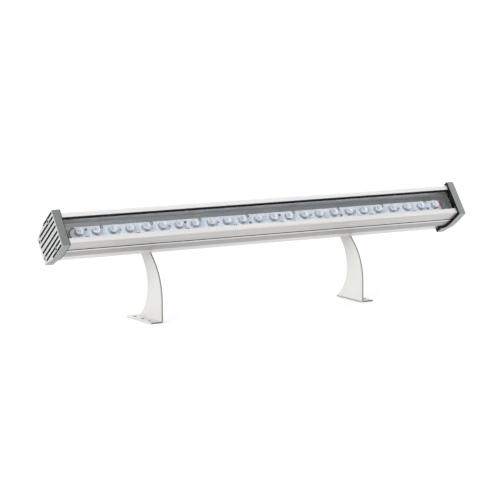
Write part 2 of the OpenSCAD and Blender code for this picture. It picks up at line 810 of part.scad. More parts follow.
// Cable gland in the right cap: body and dome nut outside, locknut inside
gland_face_x = cap_in_x + cap_t;
gland_seat_x = gland_face_x + gland_hex_l;
module gland_body() {
    color(steel) in_head() difference() {
        union() {
            rod_x(gland_face_x, gland_seat_x, gland_flats / sqrt(3), gland_v, 0, 6);
            rod_x(gland_face_x - gland_thread_l, gland_face_x + fit, gland_r, gland_v);
            rod_x(gland_seat_x - fit, gland_seat_x + gland_seat_l, gland_r, gland_v);
        }
        rod_x(gland_face_x - gland_thread_l - over, gland_seat_x + gland_seat_l + over, gland_bore_r,
            gland_v);
    }
}
module gland_locknut() {
    color(steel) in_head() difference() {
        rod_x(cap_in_x - locknut_l, cap_in_x, gland_flats / sqrt(3), gland_v, 0, 6);
        rod_x(cap_in_x - locknut_l - over, cap_in_x + over, gland_r + fit, gland_v);
    }
}
module gland_seal() {
    color(rubber) in_head() difference() {
        rod_x(gland_seat_x, gland_seat_x + gland_seat_l + washer_t, gland_bore_r - fit, gland_v);
        rod_x(gland_seat_x - over, gland_seat_x + gland_seat_l + washer_t + over, cable_d / 2, gland_v);
    }
}
module gland_dome_nut() {
    dome_r = gland_flats / 2;
    mid_x = gland_seat_x + gland_seat_l + washer_t;
    end_x = gland_seat_x + gland_dome_l;
    color(steel) in_head() difference() {
        union() {
            rod_x(gland_seat_x + gap, mid_x - washer_t, gland_flats / sqrt(3), gland_v, 0, 6);
            translate([mid_x - washer_t, gland_v, 0]) rotate([90, 0, 90]) rotate_extrude()
                polygon(concat([[0, 0]], arc([dome_r / 2, 0], dome_r / 2, 0, 90, 8),
                    [[0, dome_r / 2]]) * [[1, 0], [0, (end_x - mid_x + washer_t) / (dome_r / 2)]]);
        }
        rod_x(gland_seat_x, gland_seat_x + gland_seat_l + 2 * fit, gland_r + fit, gland_v);
        rod_x(gland_seat_x + gland_seat_l, mid_x + 2 * fit, gland_bore_r + fit, gland_v);
        rod_x(gland_seat_x, end_x + over, gland_mouth_r, gland_v);
    }
}

// Mount lug: a base on the back of the housing and an ear that reaches back to the tilt axis
module lug_outline() {
    c = [v_pivot, pivot_up];
    high = [v_back, lug_w / 2];
    low = [v_back, -lug_w / 2];
    // The straight edges touch the round end, seen from the corners of the base
    high_a = bearing(c, high) - acos(lug_r / norm(high - c));
    low_a = bearing(c, low) + acos(lug_r / norm(low - c));
    polygon(concat([low, high], arc(c, lug_r, high_a, low_a)));
}
module mount_lug() {
    color(cast) in_head() difference() {
        union() {
            along_bar(ear_in_x, lug_in_x) lug_outline();
            block([base_in_x, lug_in_x], [v_back, v_lug], [-lug_w / 2, lug_w / 2]);
        }
        rod_x(ear_in_x - over, lug_in_x + over, pivot_d / 2 + fit, v_pivot, pivot_up);
        lug_screw_places() rod_v(v_back - over, v_lug + over, lug_screw_d / 2 + fit);
    }
}
module lug_screw_places() {
    for (s = lug_screw_shares) translate([lug_in_x - s * lug_l, 0, 0]) children();
}
module left_mount_lug() {
    mirror([1, 0, 0]) mount_lug();
}
module right_mount_lug() {
    mount_lug();
}
// Slide nut inside the rail, pulled against its lips
module slide_nut() {
    color(steel) in_head() difference() {
        block([base_in_x, lug_in_x], [v_rail_lip - slide_nut_t, v_rail_lip],
            [-rail_w / 2 + slide_nut_gap, rail_w / 2 - slide_nut_gap]);
        lug_screw_places() rod_v(v_rail, v_back, lug_screw_d / 2 + fit);
    }
}
module left_slide_nut() {
    mirror([1, 0, 0]) slide_nut();
}
module right_slide_nut() {
    slide_nut();
}
module lug_screws() {
    color(steel) both_sides() in_head() lug_screw_places() difference() {
        union() {
            rod_v(v_lug, v_lug + lug_screw_head_h, lug_screw_head_d / 2);
            rod_v(v_rail_lip - slide_nut_t, v_lug + fit, lug_screw_d / 2);
        }
        rod_v(v_lug + lug_screw_head_h / 2, v_lug + lug_screw_head_h + over, lug_screw_d / 3, sides = 6);
    }
}

// Pivot bolt through arm, washer and ear, with a nut inside
module at_pivot() {
    translate([0, pivot_y, pivot_h]) children();
}
module pivot_bolts() {
    nut_end_x = ear_in_x - washer_t - pivot_nut_l;
    color(steel) both_sides() at_pivot() {
        rod_x(arm_x, arm_x + pivot_head_l, pivot_flats / sqrt(3), sides = 6);
        rod_x(nut_end_x - washer_t, arm_x + fit, pivot_d / 2);
    }
}
module pivot_nuts() {
    nut_x = ear_in_x - washer_t;
    color(steel) both_sides() at_pivot() difference() {
        rod_x(nut_x - pivot_nut_l, nut_x, pivot_flats / sqrt(3), sides = 6);
        rod_x(nut_x - pivot_nut_l - over, nut_x + over, pivot_d / 2 + fit);
    }
}
module pivot_washers() {
    color(steel) both_sides() at_pivot() for (x = [lug_in_x, ear_in_x - washer_t]) difference() {
        rod_x(x, x + washer_t, washer_d / 2);
        rod_x(x - over, x + washer_t + over, pivot_d / 2 + fit);
    }
}

// Bracket arm: one bent sheet, a curved upright with a foot turned outwards
module arm_outline() {
    // The straight edges touch the circles of the front, the top and the back
    front_a = bearing(front_c, arm_pivot) + acos((arm_front_r - arm_top_r) / norm(arm_pivot - front_c));
    back_a = bearing(arm_pivot, back_c) + acos((arm_top_r + arm_back_r) / norm(back_c - arm_pivot));
    low_a = 180 + asin(arm_waist_h / arm_low_r);
    polygon(concat([[foot_front_y, 0]],
        arc(front_c, arm_front_r, 180, front_a),
        arc(arm_pivot, arm_top_r, front_a, back_a),
        arc(back_c, arm_back_r, 180 + back_a, 180),
        [for (p = arc(low_c, arm_low_r, 180, low_a)) [min(p.x, foot_back_y), p.y]]));
}
module foot_outline() {
    r = foot_corner_r;
    polygon(concat([[bend_r, foot_front_y]],
        arc([foot_w - r, foot_front_y + r], r, -90, 0, 6),
        arc([foot_w - r, foot_back_y - r], r, 0, 90, 6),
        [[bend_r, foot_back_y]]));
}
// The arm is drawn from its inner face outwards
module bracket_arm() {
    color(sheet_white) translate([arm_in_x, 0, 0]) difference() {
        union() {
            rotate([90, 0, 90]) linear_extrude(sheet_t)
                difference() {
                    arm_outline();
                    translate([foot_front_y - over, -over]) square([foot_l + 2 * over, bend_r + over]);
                }
            intersection() {
                translate([-over, 0, 0]) rotate([90, 0, 90])
                    linear_extrude(bend_r + 2 * over) arm_outline();
                translate([bend_r, foot_front_y, bend_r]) rotate([-90, 0, 0]) difference() {
                    cylinder(h = foot_l, r = bend_r);
                    translate([0, 0, -over]) cylinder(h = foot_l + 2 * over, r = bend_r - sheet_t);
                    translate([0, -bend_r - over, -over])
                        cube([bend_r + over, 2 * (bend_r + over), foot_l + 2 * over]);
                    translate([-bend_r - over, -bend_r - over, -over])
                        cube([bend_r + 2 * over, bend_r + over, foot_l + 2 * over]);
                }
            }
            linear_extrude(sheet_t) foot_outline();
        }
        rod_x(-over, sheet_t + over, pivot_d / 2 + fit, pivot_y, pivot_h);
        for (side = [-1, 1]) translate([foot_hole_x, side * foot_hole_gap / 2, -over])
            cylinder(h = sheet_t + 2 * over, r = foot_hole_d / 2);
        translate([foot_hole_x, 1.5 * foot_hole_gap, -over]) linear_extrude(sheet_t + 2 * over) {
            square([foot_slot_l - foot_hole_d, foot_hole_d], center = true);
            for (side = [-1, 1])
                translate([side * (foot_slot_l - foot_hole_d) / 2, 0]) circle(foot_hole_d / 2);
        }
    }
}
module left_bracket_arm() {
    mirror([1, 0, 0]) bracket_arm();
}
module right_bracket_arm() {
    bracket_arm();
}

housing_extrusion();
front_glass();
upper_glass_seal();
lower_glass_seal();
left_led_board();
right_led_board();
board_links();
led_emitters();
lens_holders();
lenses();
board_components();
board_screws();
feed_terminals();
red_feed_lead();
black_feed_lead();
wire_grommets();
driver_base();
driver_cover();
driver_circuit_board();
driver_components();
driver_screws();
mains_terminal_block();
mains_leads();
left_end_cap();
right_end_cap();
left_cap_gasket();
right_cap_gasket();
left_cap_screws();
right_cap_screws();
gland_body();
gland_locknut();
gland_seal();
gland_dome_nut();
left_mount_lug();
right_mount_lug();
left_slide_nut();
right_slide_nut();
lug_screws();
pivot_bolts();
pivot_nuts();
pivot_washers();
left_bracket_arm();
right_bracket_arm();
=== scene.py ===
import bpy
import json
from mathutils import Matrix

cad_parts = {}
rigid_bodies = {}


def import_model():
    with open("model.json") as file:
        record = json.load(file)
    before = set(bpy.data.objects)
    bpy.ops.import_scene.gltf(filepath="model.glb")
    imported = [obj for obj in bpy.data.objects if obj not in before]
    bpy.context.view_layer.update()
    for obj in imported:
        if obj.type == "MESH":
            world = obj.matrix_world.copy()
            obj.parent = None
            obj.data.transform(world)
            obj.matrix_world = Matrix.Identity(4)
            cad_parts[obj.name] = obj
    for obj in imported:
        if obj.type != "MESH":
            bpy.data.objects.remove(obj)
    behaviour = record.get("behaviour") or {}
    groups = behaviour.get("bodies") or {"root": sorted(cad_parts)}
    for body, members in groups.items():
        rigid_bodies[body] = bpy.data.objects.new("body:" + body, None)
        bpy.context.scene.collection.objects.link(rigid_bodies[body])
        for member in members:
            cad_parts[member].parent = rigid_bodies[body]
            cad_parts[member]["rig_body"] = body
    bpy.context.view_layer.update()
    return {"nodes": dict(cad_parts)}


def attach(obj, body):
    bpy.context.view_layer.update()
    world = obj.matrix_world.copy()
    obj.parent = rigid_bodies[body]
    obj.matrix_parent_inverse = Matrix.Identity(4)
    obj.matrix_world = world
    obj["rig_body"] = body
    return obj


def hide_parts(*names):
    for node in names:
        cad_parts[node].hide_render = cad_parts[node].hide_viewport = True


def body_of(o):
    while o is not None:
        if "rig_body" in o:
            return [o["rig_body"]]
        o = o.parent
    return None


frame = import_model()

import json
from math import cos, hypot, pi, radians, sin, tau

import bmesh
import bpy
from mathutils import Matrix, Vector

bl_info = {
    "name": "Wall washer light",
    "version": (1, 0, 0),
    "blender": (4, 5, 0),
    "location": "3D View > Sidebar > Wall washer",
    "description": "Dresses the CAD model of an outdoor LED wall washer: a glazed bar on two brackets",
    "category": "Object",
}

MM = 0.001
# The head leans back by this angle about the tilt axis, as its CAD nodes do
LEAN = radians(37)
TILT_AXIS = Vector((0, 45.5, 153.8)) * MM
# The tilt axis in the head's own frame: along the bar, back from the front, up across the glass
AXIS_IN_HEAD = Vector((0, 124, 9)) * MM
HEAD = (Matrix.Translation(TILT_AXIS) @ Matrix.Rotation(-LEAN, 4, 'X')
        @ Matrix.Translation(-AXIS_IN_HEAD))
TO_HEAD = HEAD.inverted()
NO_TILT = Matrix.Identity(4)

# Depths in the head's own frame, in millimetres
BOARD_FACE = 31.4
GROOVE_AT, GROOVE_WIDTH = 31, 2
TAPER_AT, LEG_AT = 40, 80.5
CAP_DEPTH = 99.5
LUG_BACK = 100
# Places along the bar, in millimetres from its middle
CAP_IN, CAP_OUT = 483, 500
LED_SHIFT = 1.8
ARM_X = 253.5
FOOT_HOLE_X = 270.7
LUG_SCREWS_X = (233, 217)
# Cap screws: their depth, and their height on either side of the middle line
CAP_SCREWS = ((31, 32.4), (91, 19.75))
# The groove is drawn wider than it is by this much, so that its shade shows at this size
GROOVE_WIDER = 1.4
# Sockets of a Mix node that carry colours
MIX_FIRST, MIX_SECOND, MIX_RESULT = 6, 7, 2


def linear(code):
    """An sRGB hex colour as linear red, green and blue."""
    parts = [int(code[i:i + 2], 16) / 255 for i in (1, 3, 5)]
    return tuple(c / 12.92 if c <= 0.04045 else ((c + 0.055) / 1.055) ** 2.4 for c in parts)


def length_setting(name, description, length):
    """A length that a user would change, given in millimetres."""
    return bpy.props.FloatProperty(name=name, description=description, default=length * MM,
                                   unit='LENGTH')


def colour_setting(name, description, code):
    """A colour that a user would change, given as an sRGB hex code."""
    return bpy.props.FloatVectorProperty(name=name, description=description, default=linear(code),
                                         size=3, subtype='COLOR', min=0, max=1)


class WallWasherSettings(bpy.types.PropertyGroup):
    """Sizes and colours that a user would change."""
    led_count: bpy.props.IntProperty(
        name="LEDs", description="Number of LEDs in the row", default=24, min=1, max=60)
    led_pitch: length_setting("LED pitch", "Distance from one LED to the next", 38.6)
    lens_diameter: length_setting("Lens diameter", "Diameter over the rim of a lens", 17.5)
    lens_height: length_setting("Lens height", "Height of a lens over the LED board", 10)
    edge_rounding: length_setting(
        "Edge rounding", "Width of the rounding on sheet and extrusion edges", 0.4)
    cast_rounding: length_setting(
        "Casting rounding", "Width of the rounding on the edges of cast pieces", 0.7)
    aluminium_colour: colour_setting(
        "Anodised aluminium", "Colour of the housing extrusion", "#dad9d8")
    # The rim and side colours are one grey coat in shaded and lit copies: painted shade on cap faces
    # turned to the front, painted light on the others
    cap_colour: colour_setting(
        "Cap rim", "Colour of the powder coat on the rims of the end caps", "#888a8c")
    cap_side_colour: colour_setting(
        "Cap side", "Colour of the powder coat round the sides of the end caps", "#b2b5b7")
    cap_face_colour: colour_setting(
        "Cap face", "Colour of the ribbed outer faces of the end caps", "#d3d7d4")
    bracket_colour: colour_setting(
        "Brackets", "Colour of the powder coat on the bracket arms", "#e8e7e3")
    board_colour: colour_setting(
        "LED board", "Colour of the solder mask on the LED boards", "#ebf1f8")
    floor_colour: colour_setting("Floor", "Colour of the studio floor", "#f4f4f4")


# Helpers for trees and meshes

def add(tree, kind, inputs=None, **settings):
    """Adds a node to a tree, with its settings, and its inputs as values or as links."""
    node = tree.nodes.new(kind)
    node.location = (220 * (len(tree.nodes) % 8), -260 * (len(tree.nodes) // 8))
    for name, value in settings.items():
        setattr(node, name, value)
    for key, value in (inputs or {}).items():
        if isinstance(value, bpy.types.NodeSocket):
            tree.links.new(value, node.inputs[key])
        else:
            node.inputs[key].default_value = value
    return node


def blank_material(name, **sockets):
    """A material with one Principled shader, and values for its sockets."""
    material = bpy.data.materials.new(name)
    material.use_nodes = True
    tree = material.node_tree
    tree.nodes.clear()
    shader = add(tree, 'ShaderNodeBsdfPrincipled',
                 {key.replace("_", " "): value for key, value in sockets.items()})
    add(tree, 'ShaderNodeOutputMaterial', {"Surface": shader.outputs["BSDF"]})
    return material, tree, shader


def four(colour):
    return (*colour, 1)


def shade(colour, factor):
    """A colour made brighter or darker, with an alpha of 1."""
    return (*[min(1, c * factor) for c in colour[:3]], 1)


def maths(tree, operation, *values):
    return add(tree, 'ShaderNodeMath', dict(enumerate(values)), operation=operation).outputs[0]


def spread(tree, value, low, high, start=0.0, end=1.0):
    """Carries a value from the range between start and end over to the one between low and high."""
    return add(tree, 'ShaderNodeMapRange', {"Value": value, "From Min": start, "From Max": end,
                                            "To Min": low, "To Max": high}).outputs["Result"]


def blend(tree, share, first, second):
    """A colour between two: the second one where the share is 1."""
    return add(tree, 'ShaderNodeMix', {"Factor": share, MIX_FIRST: first, MIX_SECOND: second},
               data_type='RGBA').outputs[MIX_RESULT]


def noise(tree, place, scale=1.0, detail=2.0, **more):
    return add(tree, 'ShaderNodeTexNoise', {"Vector": place, "Scale": scale, "Detail": detail,
                                            **more}).outputs["Fac"]


def object_place(tree):
    return add(tree, 'ShaderNodeTexCoord').outputs["Object"]


def in_head(tree, scale=(1, 1, 1)):
    """Object coordinates turned into the head's own frame, in metres times scale."""
    local = add(tree, 'ShaderNodeMapping', {"Vector": object_place(tree),
                                            "Location": TO_HEAD.translation,
                                            "Rotation": TO_HEAD.to_euler()})
    return add(tree, 'ShaderNodeVectorMath', {0: local.outputs["Vector"], 1: scale},
               operation='MULTIPLY').outputs["Vector"]


def led_steps(tree, settings):
    """Distance from the nearest LED along the bar, as a share of the pitch, and across it."""
    parts = add(tree, 'ShaderNodeSeparateXYZ', {"Vector": in_head(tree)}).outputs
    steps = maths(tree, 'DIVIDE', maths(tree, 'SUBTRACT', parts["X"], LED_SHIFT * MM),
                  settings.led_pitch)
    along = maths(tree, 'ABSOLUTE', maths(tree, 'SUBTRACT', maths(tree, 'FRACT', steps), 0.5))
    return along, maths(tree, 'ABSOLUTE', parts["Z"])


def link_finish(tree, shader, tint, rough, height=None, strength=0.0, distance=0.0):
    """Links a colour, a roughness and a height, in metres, to the shader."""
    tree.links.new(tint, shader.inputs["Base Color"])
    tree.links.new(rough, shader.inputs["Roughness"])
    if height is not None:
        bump = add(tree, 'ShaderNodeBump', {"Height": height, "Strength": strength,
                                            "Distance": distance})
        tree.links.new(bump.outputs["Normal"], shader.inputs["Normal"])


def mix_shaders(tree, share, first, second):
    return add(tree, 'ShaderNodeMixShader', {0: share, 1: first, 2: second}).outputs["Shader"]


def link_surface(tree, shader):
    """Links a shader to the surface of the material."""
    for node in tree.nodes:
        if node.bl_idname == 'ShaderNodeOutputMaterial':
            tree.links.new(shader, node.inputs["Surface"])


def turned(name, profile, sides=40, closed=False):
    """A mesh turned on a lathe about the -Y axis. The profile lists (height, radius) in
    millimetres, or (height, radius across flats / 2, True) where that ring is a hexagon."""
    work = bmesh.new()
    rings = []
    for point in profile:
        height, radius = point[0] * MM, point[1] * MM
        hexagon = len(point) > 2
        if radius == 0:
            rings.append([work.verts.new((0, -height, 0))])
            continue
        ring = []
        for i in range(sides):
            a = tau * i / sides
            r = radius / cos((a + pi / 6) % (pi / 3) - pi / 6) if hexagon else radius
            ring.append(work.verts.new((r * cos(a), -height, r * sin(a))))
        rings.append(ring)
    pairs = list(zip(rings, rings[1:] + rings[:1]))
    for low, high in pairs if closed else pairs[:-1]:
        for i in range(sides):
            j = (i + 1) % sides
            corners = []
            for vert in (low[i % len(low)], low[j % len(low)],
                         high[j % len(high)], high[i % len(high)]):
                if vert not in corners:
                    corners.append(vert)
            work.faces.new(corners)
    if not closed:
        for ring in (rings[0], rings[-1]):
            if len(ring) > 1:
                work.faces.new(ring)
    bmesh.ops.recalc_face_normals(work, faces=work.faces)
    return finished_mesh(name, work)


def finished_mesh(name, work, sharp=35):
    """Turns the working mesh into a mesh that is smooth except at edges sharper than an angle."""
    mesh = bpy.data.meshes.new(name)
    work.to_mesh(mesh)
    work.free()
    mesh.shade_smooth()
    mesh.set_sharp_from_angle(angle=radians(sharp))
    return mesh


def blocks(name, corners, bevel, segments=2):
    """A mesh of blocks with rounded edges, each between two corners, in millimetres."""
    work = bmesh.new()
    for low, high in corners:
        centre = (Vector(low) + Vector(high)) / 2 * MM
        size = (Vector(high) - Vector(low)) * MM
        made = bmesh.ops.create_cube(work, size=1, matrix=Matrix.Translation(centre)
                                     @ Matrix.Diagonal((*size, 1)))
        edges = list({edge for vert in made["verts"] for edge in vert.link_edges})
        bmesh.ops.bevel(work, geom=edges, offset=bevel * MM, segments=segments, profile=0.5,
                        affect='EDGES', clamp_overlap=True)
    return finished_mesh(name, work)


def put(name, mesh, material=None):
    """A new object in the scene for a mesh."""
    if material is not None and not mesh.materials:
        mesh.materials.append(material)
    piece = bpy.data.objects.new(name, mesh)
    bpy.context.scene.collection.objects.link(piece)
    return piece


def stand_for(piece, slot, *nodes):
    """The piece takes the place of CAD nodes, and rides on their body."""
    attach(piece, body_of(frame["nodes"][nodes[0]])[0])
    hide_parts(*nodes)
    return piece


def evaluated(piece):
    """A plain mesh of the piece with its modifiers applied."""
    graph = bpy.context.evaluated_depsgraph_get()
    return bpy.data.meshes.new_from_object(piece.evaluated_get(graph), preserve_all_data_layers=True,
                                           depsgraph=graph)


def rounded_copy(node, materials, width, segments=2, angle=28):
    """A copy of a CAD node with its materials, merged, with its sharp edges rounded and its curved
    faces smooth. Edges count as sharp from the angle on, in degrees."""
    work = bmesh.new()
    work.from_mesh(frame["nodes"][node].data)
    bmesh.ops.remove_doubles(work, verts=work.verts, dist=2e-6)
    bmesh.ops.dissolve_limit(work, angle_limit=radians(0.6), verts=work.verts, edges=work.edges)
    mesh = bpy.data.meshes.new(node)
    work.to_mesh(mesh)
    work.free()
    piece = put(node + "_dressed", mesh)
    rounding = piece.modifiers.new("Rounding", 'BEVEL')
    rounding.width = width
    rounding.segments = segments
    rounding.limit_method = 'ANGLE'
    rounding.angle_limit = radians(angle)
    rounding.harden_normals = True
    rounding.use_clamp_overlap = True
    mesh.shade_smooth()
    mesh.set_sharp_from_angle(angle=radians(angle))
    plain = evaluated(piece)
    piece.modifiers.clear()
    piece.data = plain
    plain.name = node + "_dressed"
    plain.materials.clear()
    for material in materials:
        plain.materials.append(material)
    return piece


def dress(node, slot, material, width, segments=2, angle=28):
    """Sets a rounded copy with one material in the place of a CAD node."""
    return stand_for(rounded_copy(node, [material], width, segments, angle), slot, node)


def repaint(node, material):
    """Gives a CAD node that stays its material."""
    data = frame["nodes"][node].data
    for i in range(max(1, len(data.materials))):
        if i < len(data.materials):
            data.materials[i] = material
        else:
            data.materials.append(material)
    for held in frame["nodes"][node].material_slots:
        held.material = material


def new_tree(name, *sockets):
    """A Geometry Nodes tree that takes a shape, a material and named inputs."""
    tree = bpy.data.node_groups.new(name, 'GeometryNodeTree')
    tree.interface.new_socket("Geometry", in_out='INPUT', socket_type='NodeSocketGeometry')
    for label, kind in (("Shape", 'Object'), ("Material", 'Material'), *sockets):
        tree.interface.new_socket(label, in_out='INPUT', socket_type='NodeSocket' + kind)
    tree.interface.new_socket("Geometry", in_out='OUTPUT', socket_type='NodeSocketGeometry')
    return tree, add(tree, 'NodeGroupInput').outputs


def close_tree(tree, given, points):
    """Sets the shape on the points, makes it real and gives it its material."""
    shape = add(tree, 'GeometryNodeObjectInfo', {"Object": given["Shape"]})
    copies = add(tree, 'GeometryNodeInstanceOnPoints',
                 {"Points": points, "Instance": shape.outputs["Geometry"]})
    real = add(tree, 'GeometryNodeRealizeInstances', {"Geometry": copies.outputs["Instances"]})
    painted = add(tree, 'GeometryNodeSetMaterial',
                  {"Geometry": real.outputs["Geometry"], "Material": given["Material"]})
    add(tree, 'NodeGroupOutput', {"Geometry": painted.outputs["Geometry"]})
    return tree


def row_tree():
    """Copies of a shape in an even row along the bar."""
    tree, given = new_tree("Row along the bar", ("Count", 'Int'), ("Pitch", 'Float'),
                           ("First place", 'Vector'))
    step = add(tree, 'ShaderNodeCombineXYZ', {"X": given["Pitch"]})
    line = add(tree, 'GeometryNodeMeshLine', {
        "Count": given["Count"], "Offset": step.outputs["Vector"],
        "Start Location": given["First place"]}, mode='OFFSET')
    return close_tree(tree, given, line.outputs["Mesh"])


def places_tree():
    """Copies of a shape at the vertices of the mesh that carries the tree."""
    tree, given = new_tree("Set at places")
    return close_tree(tree, given, given["Geometry"])


def grown(name, tree, shape, material, frame_of=HEAD, places=(), **values):
    """Runs a tree once, and keeps its result as a plain mesh put into the frame of the model."""
    source = put(name + "_shape", shape)
    base = bpy.data.meshes.new(name)
    base.from_pydata([Vector(p) * MM for p in places], [], [])
    piece = put(name, base)
    live = piece.modifiers.new(name, 'NODES')
    live.node_group = tree
    values = {"Shape": source, "Material": material, **values}
    for item in tree.interface.items_tree:
        if item.item_type == 'SOCKET' and item.in_out == 'INPUT' and item.name in values:
            live[item.identifier] = values[item.name]
    mesh = evaluated(piece)
    piece.modifiers.clear()
    mesh.name = name
    mesh.transform(frame_of)
    piece.data = mesh
    if not mesh.polygons:
        raise RuntimeError(f"{name} came out empty")
    bpy.data.objects.remove(source)
    return piece


def led_place(i, v=0, w=0):
    """Place of the LED with that number, or between two, in the head's own frame in millimetres."""
    settings = bpy.context.scene.wall_washer
    return Vector((LED_SHIFT + (i - (settings.led_count - 1) / 2) * settings.led_pitch / MM, v, w))


def head_place(point):
    """A place of the model in the head's own frame, in millimetres."""
    return TO_HEAD @ point / MM


# Materials

def anodised_aluminium(name, colour, change=None):
    """Extruded aluminium, satin anodised: soft bright reflections, drawn out by fine die lines.
    The die lines are under half a millimetre apart, and are drawn coarser so that they show.
    change gives an axis of the head, two places on it in millimetres, and the share of the colour
    that is left at the second place."""
    material, tree, shader = blank_material(name, Metallic=1.0, Roughness=0.42)
    streaks = noise(tree, in_head(tree, (3, 420, 420)), detail=4.0, Roughness=0.6)
    cloud = noise(tree, in_head(tree, (9, 30, 30)))
    tint = blend(tree, spread(tree, streaks, 0.0, 1.0, 0.3, 0.7), shade(colour, 0.9),
                 shade(colour, 1.06))
    if change:
        axis, start, end, left = change
        place = add(tree, 'ShaderNodeSeparateXYZ', {"Vector": in_head(tree)}).outputs[axis]
        tint = blend(tree, spread(tree, place, 0.0, 1.0, start * MM, end * MM), tint,
                     shade(colour, left))
    link_finish(tree, shader, tint, spread(tree, cloud, 0.38, 0.5), streaks, 0.35, 0.00006)
    return material


def powder_coat(name, colour, grain, roughness=0.5, depth=0.00012, strength=0.35):
    """Baked powder coat: an even satin skin with the fine orange peel of melted powder.
    grain is the width of one bump in millimetres."""
    material, tree, shader = blank_material(name, Metallic=0.0, Roughness=roughness, IOR=1.5)
    place = object_place(tree)
    peel = noise(tree, place, 1 / (grain * MM), 3.0, Roughness=0.55)
    mottle = blend(tree, peel, shade(colour, 0.93), shade(colour, 1.06))
    drift = blend(tree, noise(tree, place, 14.0), mottle, shade(colour, 0.97))
    link_finish(tree, shader, drift, spread(tree, peel, roughness - 0.06, roughness + 0.1), peel,
                strength, depth)
    return material


def silicone_rubber():
    """Moulded black silicone: a dull skin that carries a little dust."""
    material, tree, shader = blank_material("Moulded silicone rubber", Metallic=0.0, Roughness=0.7,
                                            IOR=1.4, Specular_IOR_Level=0.25)
    dust = noise(tree, object_place(tree), 260.0, 3.0)
    tint = blend(tree, dust, four(linear("#08090a")), four(linear("#151617")))
    link_finish(tree, shader, tint, spread(tree, dust, 0.5, 0.75), dust, 0.2, 0.0001)
    return material


def toughened_glass():
    """Clear toughened float glass: sharp reflections and a trace of green in its thickness.
    Lamplight passes it straight, so that what lies behind it is lit."""
    material, tree, shader = blank_material(
        "Toughened float glass", Metallic=0.0, Roughness=0.0, IOR=1.52,
        Transmission_Weight=1.0, Base_Color=four(linear("#f8fbfd")))
    path = add(tree, 'ShaderNodeLightPath').outputs
    clear = add(tree, 'ShaderNodeBsdfTransparent', {"Color": four(linear("#f6f9fb"))})
    mixed = mix_shaders(tree, path["Is Shadow Ray"], shader.outputs["BSDF"], clear.outputs["BSDF"])
    smear = noise(tree, in_head(tree, (6, 40, 40)), detail=3.0)
    tree.links.new(spread(tree, smear, 0.0, 0.02, 0.4), shader.inputs["Roughness"])
    link_surface(tree, mixed)
    return material


def moulded_acrylic(settings):
    """Moulded clear acrylic of the lenses: bright, with a lavender cast from its inner reflections.
    The LED shows as a rosy grey patch of 7 mm in the dimple."""
    material, tree, shader = blank_material(
        "Moulded acrylic lens", Metallic=0.0, Roughness=0.12, IOR=1.49, Transmission_Weight=0.2,
        Base_Color=four(linear("#e9e8f6")))
    swirl = noise(tree, in_head(tree, (55, 55, 55)))
    tint = blend(tree, swirl, four(linear("#f3f4f7")), four(linear("#ece3ec")))
    along, across = led_steps(tree, settings)
    spot = add(tree, 'ShaderNodeCombineXYZ', {"X": maths(tree, 'MULTIPLY', along, settings.led_pitch),
                                              "Z": across}).outputs["Vector"]
    far = add(tree, 'ShaderNodeVectorMath', {0: spot}, operation='LENGTH').outputs["Value"]
    seen = blend(tree, spread(tree, far, 0.6, 0.0, 2.4 * MM, 4.6 * MM), tint, four(linear("#cdc0c9")))
    link_finish(tree, shader, seen, spread(tree, swirl, 0.06, 0.2))
    return material


def moulded_plastic(name, code, roughness=0.45, grain=0.8):
    """Injection moulded plastic: an even colour with a faint spark-eroded texture."""
    material, tree, shader = blank_material(name, Metallic=0.0, Roughness=roughness, IOR=1.5)
    colour = linear(code)
    grains = noise(tree, object_place(tree), 1 / (grain * MM))
    tint = blend(tree, grains, shade(colour, 0.94), shade(colour, 1.05))
    link_finish(tree, shader, tint, spread(tree, grains, roughness - 0.06, roughness + 0.08), grains,
                0.2, 0.00005)
    return material


def metal(name, code, roughness=0.28, marks_a_metre=900, wear=0.06):
    """Bare or plated metal: sharp enough reflections, broken up by fine tool marks."""
    material, tree, shader = blank_material(name, Metallic=1.0, Roughness=roughness)
    colour = linear(code)
    stretched = add(tree, 'ShaderNodeVectorMath', {0: object_place(tree), 1: [marks_a_metre] * 3},
                    operation='MULTIPLY').outputs["Vector"]
    marks = noise(tree, stretched, detail=3.0)
    tint = blend(tree, marks, shade(colour, 1 - wear), shade(colour, 1 + wear))
    link_finish(tree, shader, tint, spread(tree, marks, roughness - 0.08, roughness + 0.12), marks,
                0.15, 0.00004)
    return material


def solder_mask_board(settings):
    """Aluminium-core board under pale solder mask: a copper land round each LED shows as a raised
    field with a thin darker gap around it, and the mask has a faint lavender drift."""
    colour = settings.board_colour
    material, tree, shader = blank_material("Solder mask over copper", Metallic=0.0, Roughness=0.4,
                                            IOR=1.5)
    from_led, across = led_steps(tree, settings)
    # Distance to the outline of the land, as a share: 1 lies on the outline
    outline = maths(tree, 'MAXIMUM', maths(tree, 'DIVIDE', from_led, 0.43),
                    maths(tree, 'DIVIDE', across, 10.6 * MM))
    gap = maths(tree, 'COMPARE', outline, 1.0, 0.035)
    bus = maths(tree, 'COMPARE', across, 5.2 * MM, 0.35 * MM)
    beside = maths(tree, 'MULTIPLY', bus, maths(tree, 'GREATER_THAN', from_led, 0.24))
    drawn_lines = maths(tree, 'MAXIMUM', gap, beside)
    drift = noise(tree, in_head(tree, (35, 35, 60)), detail=3.0)
    base = blend(tree, drift, four(colour), four(linear("#ecebf5")))
    drawn = blend(tree, maths(tree, 'MULTIPLY', drawn_lines, 0.5), base, shade(colour, 0.55))
    link_finish(tree, shader, drawn, spread(tree, drift, 0.32, 0.48),
                maths(tree, 'SUBTRACT', 1.0, drawn_lines), 0.5, 0.0001)
    return material


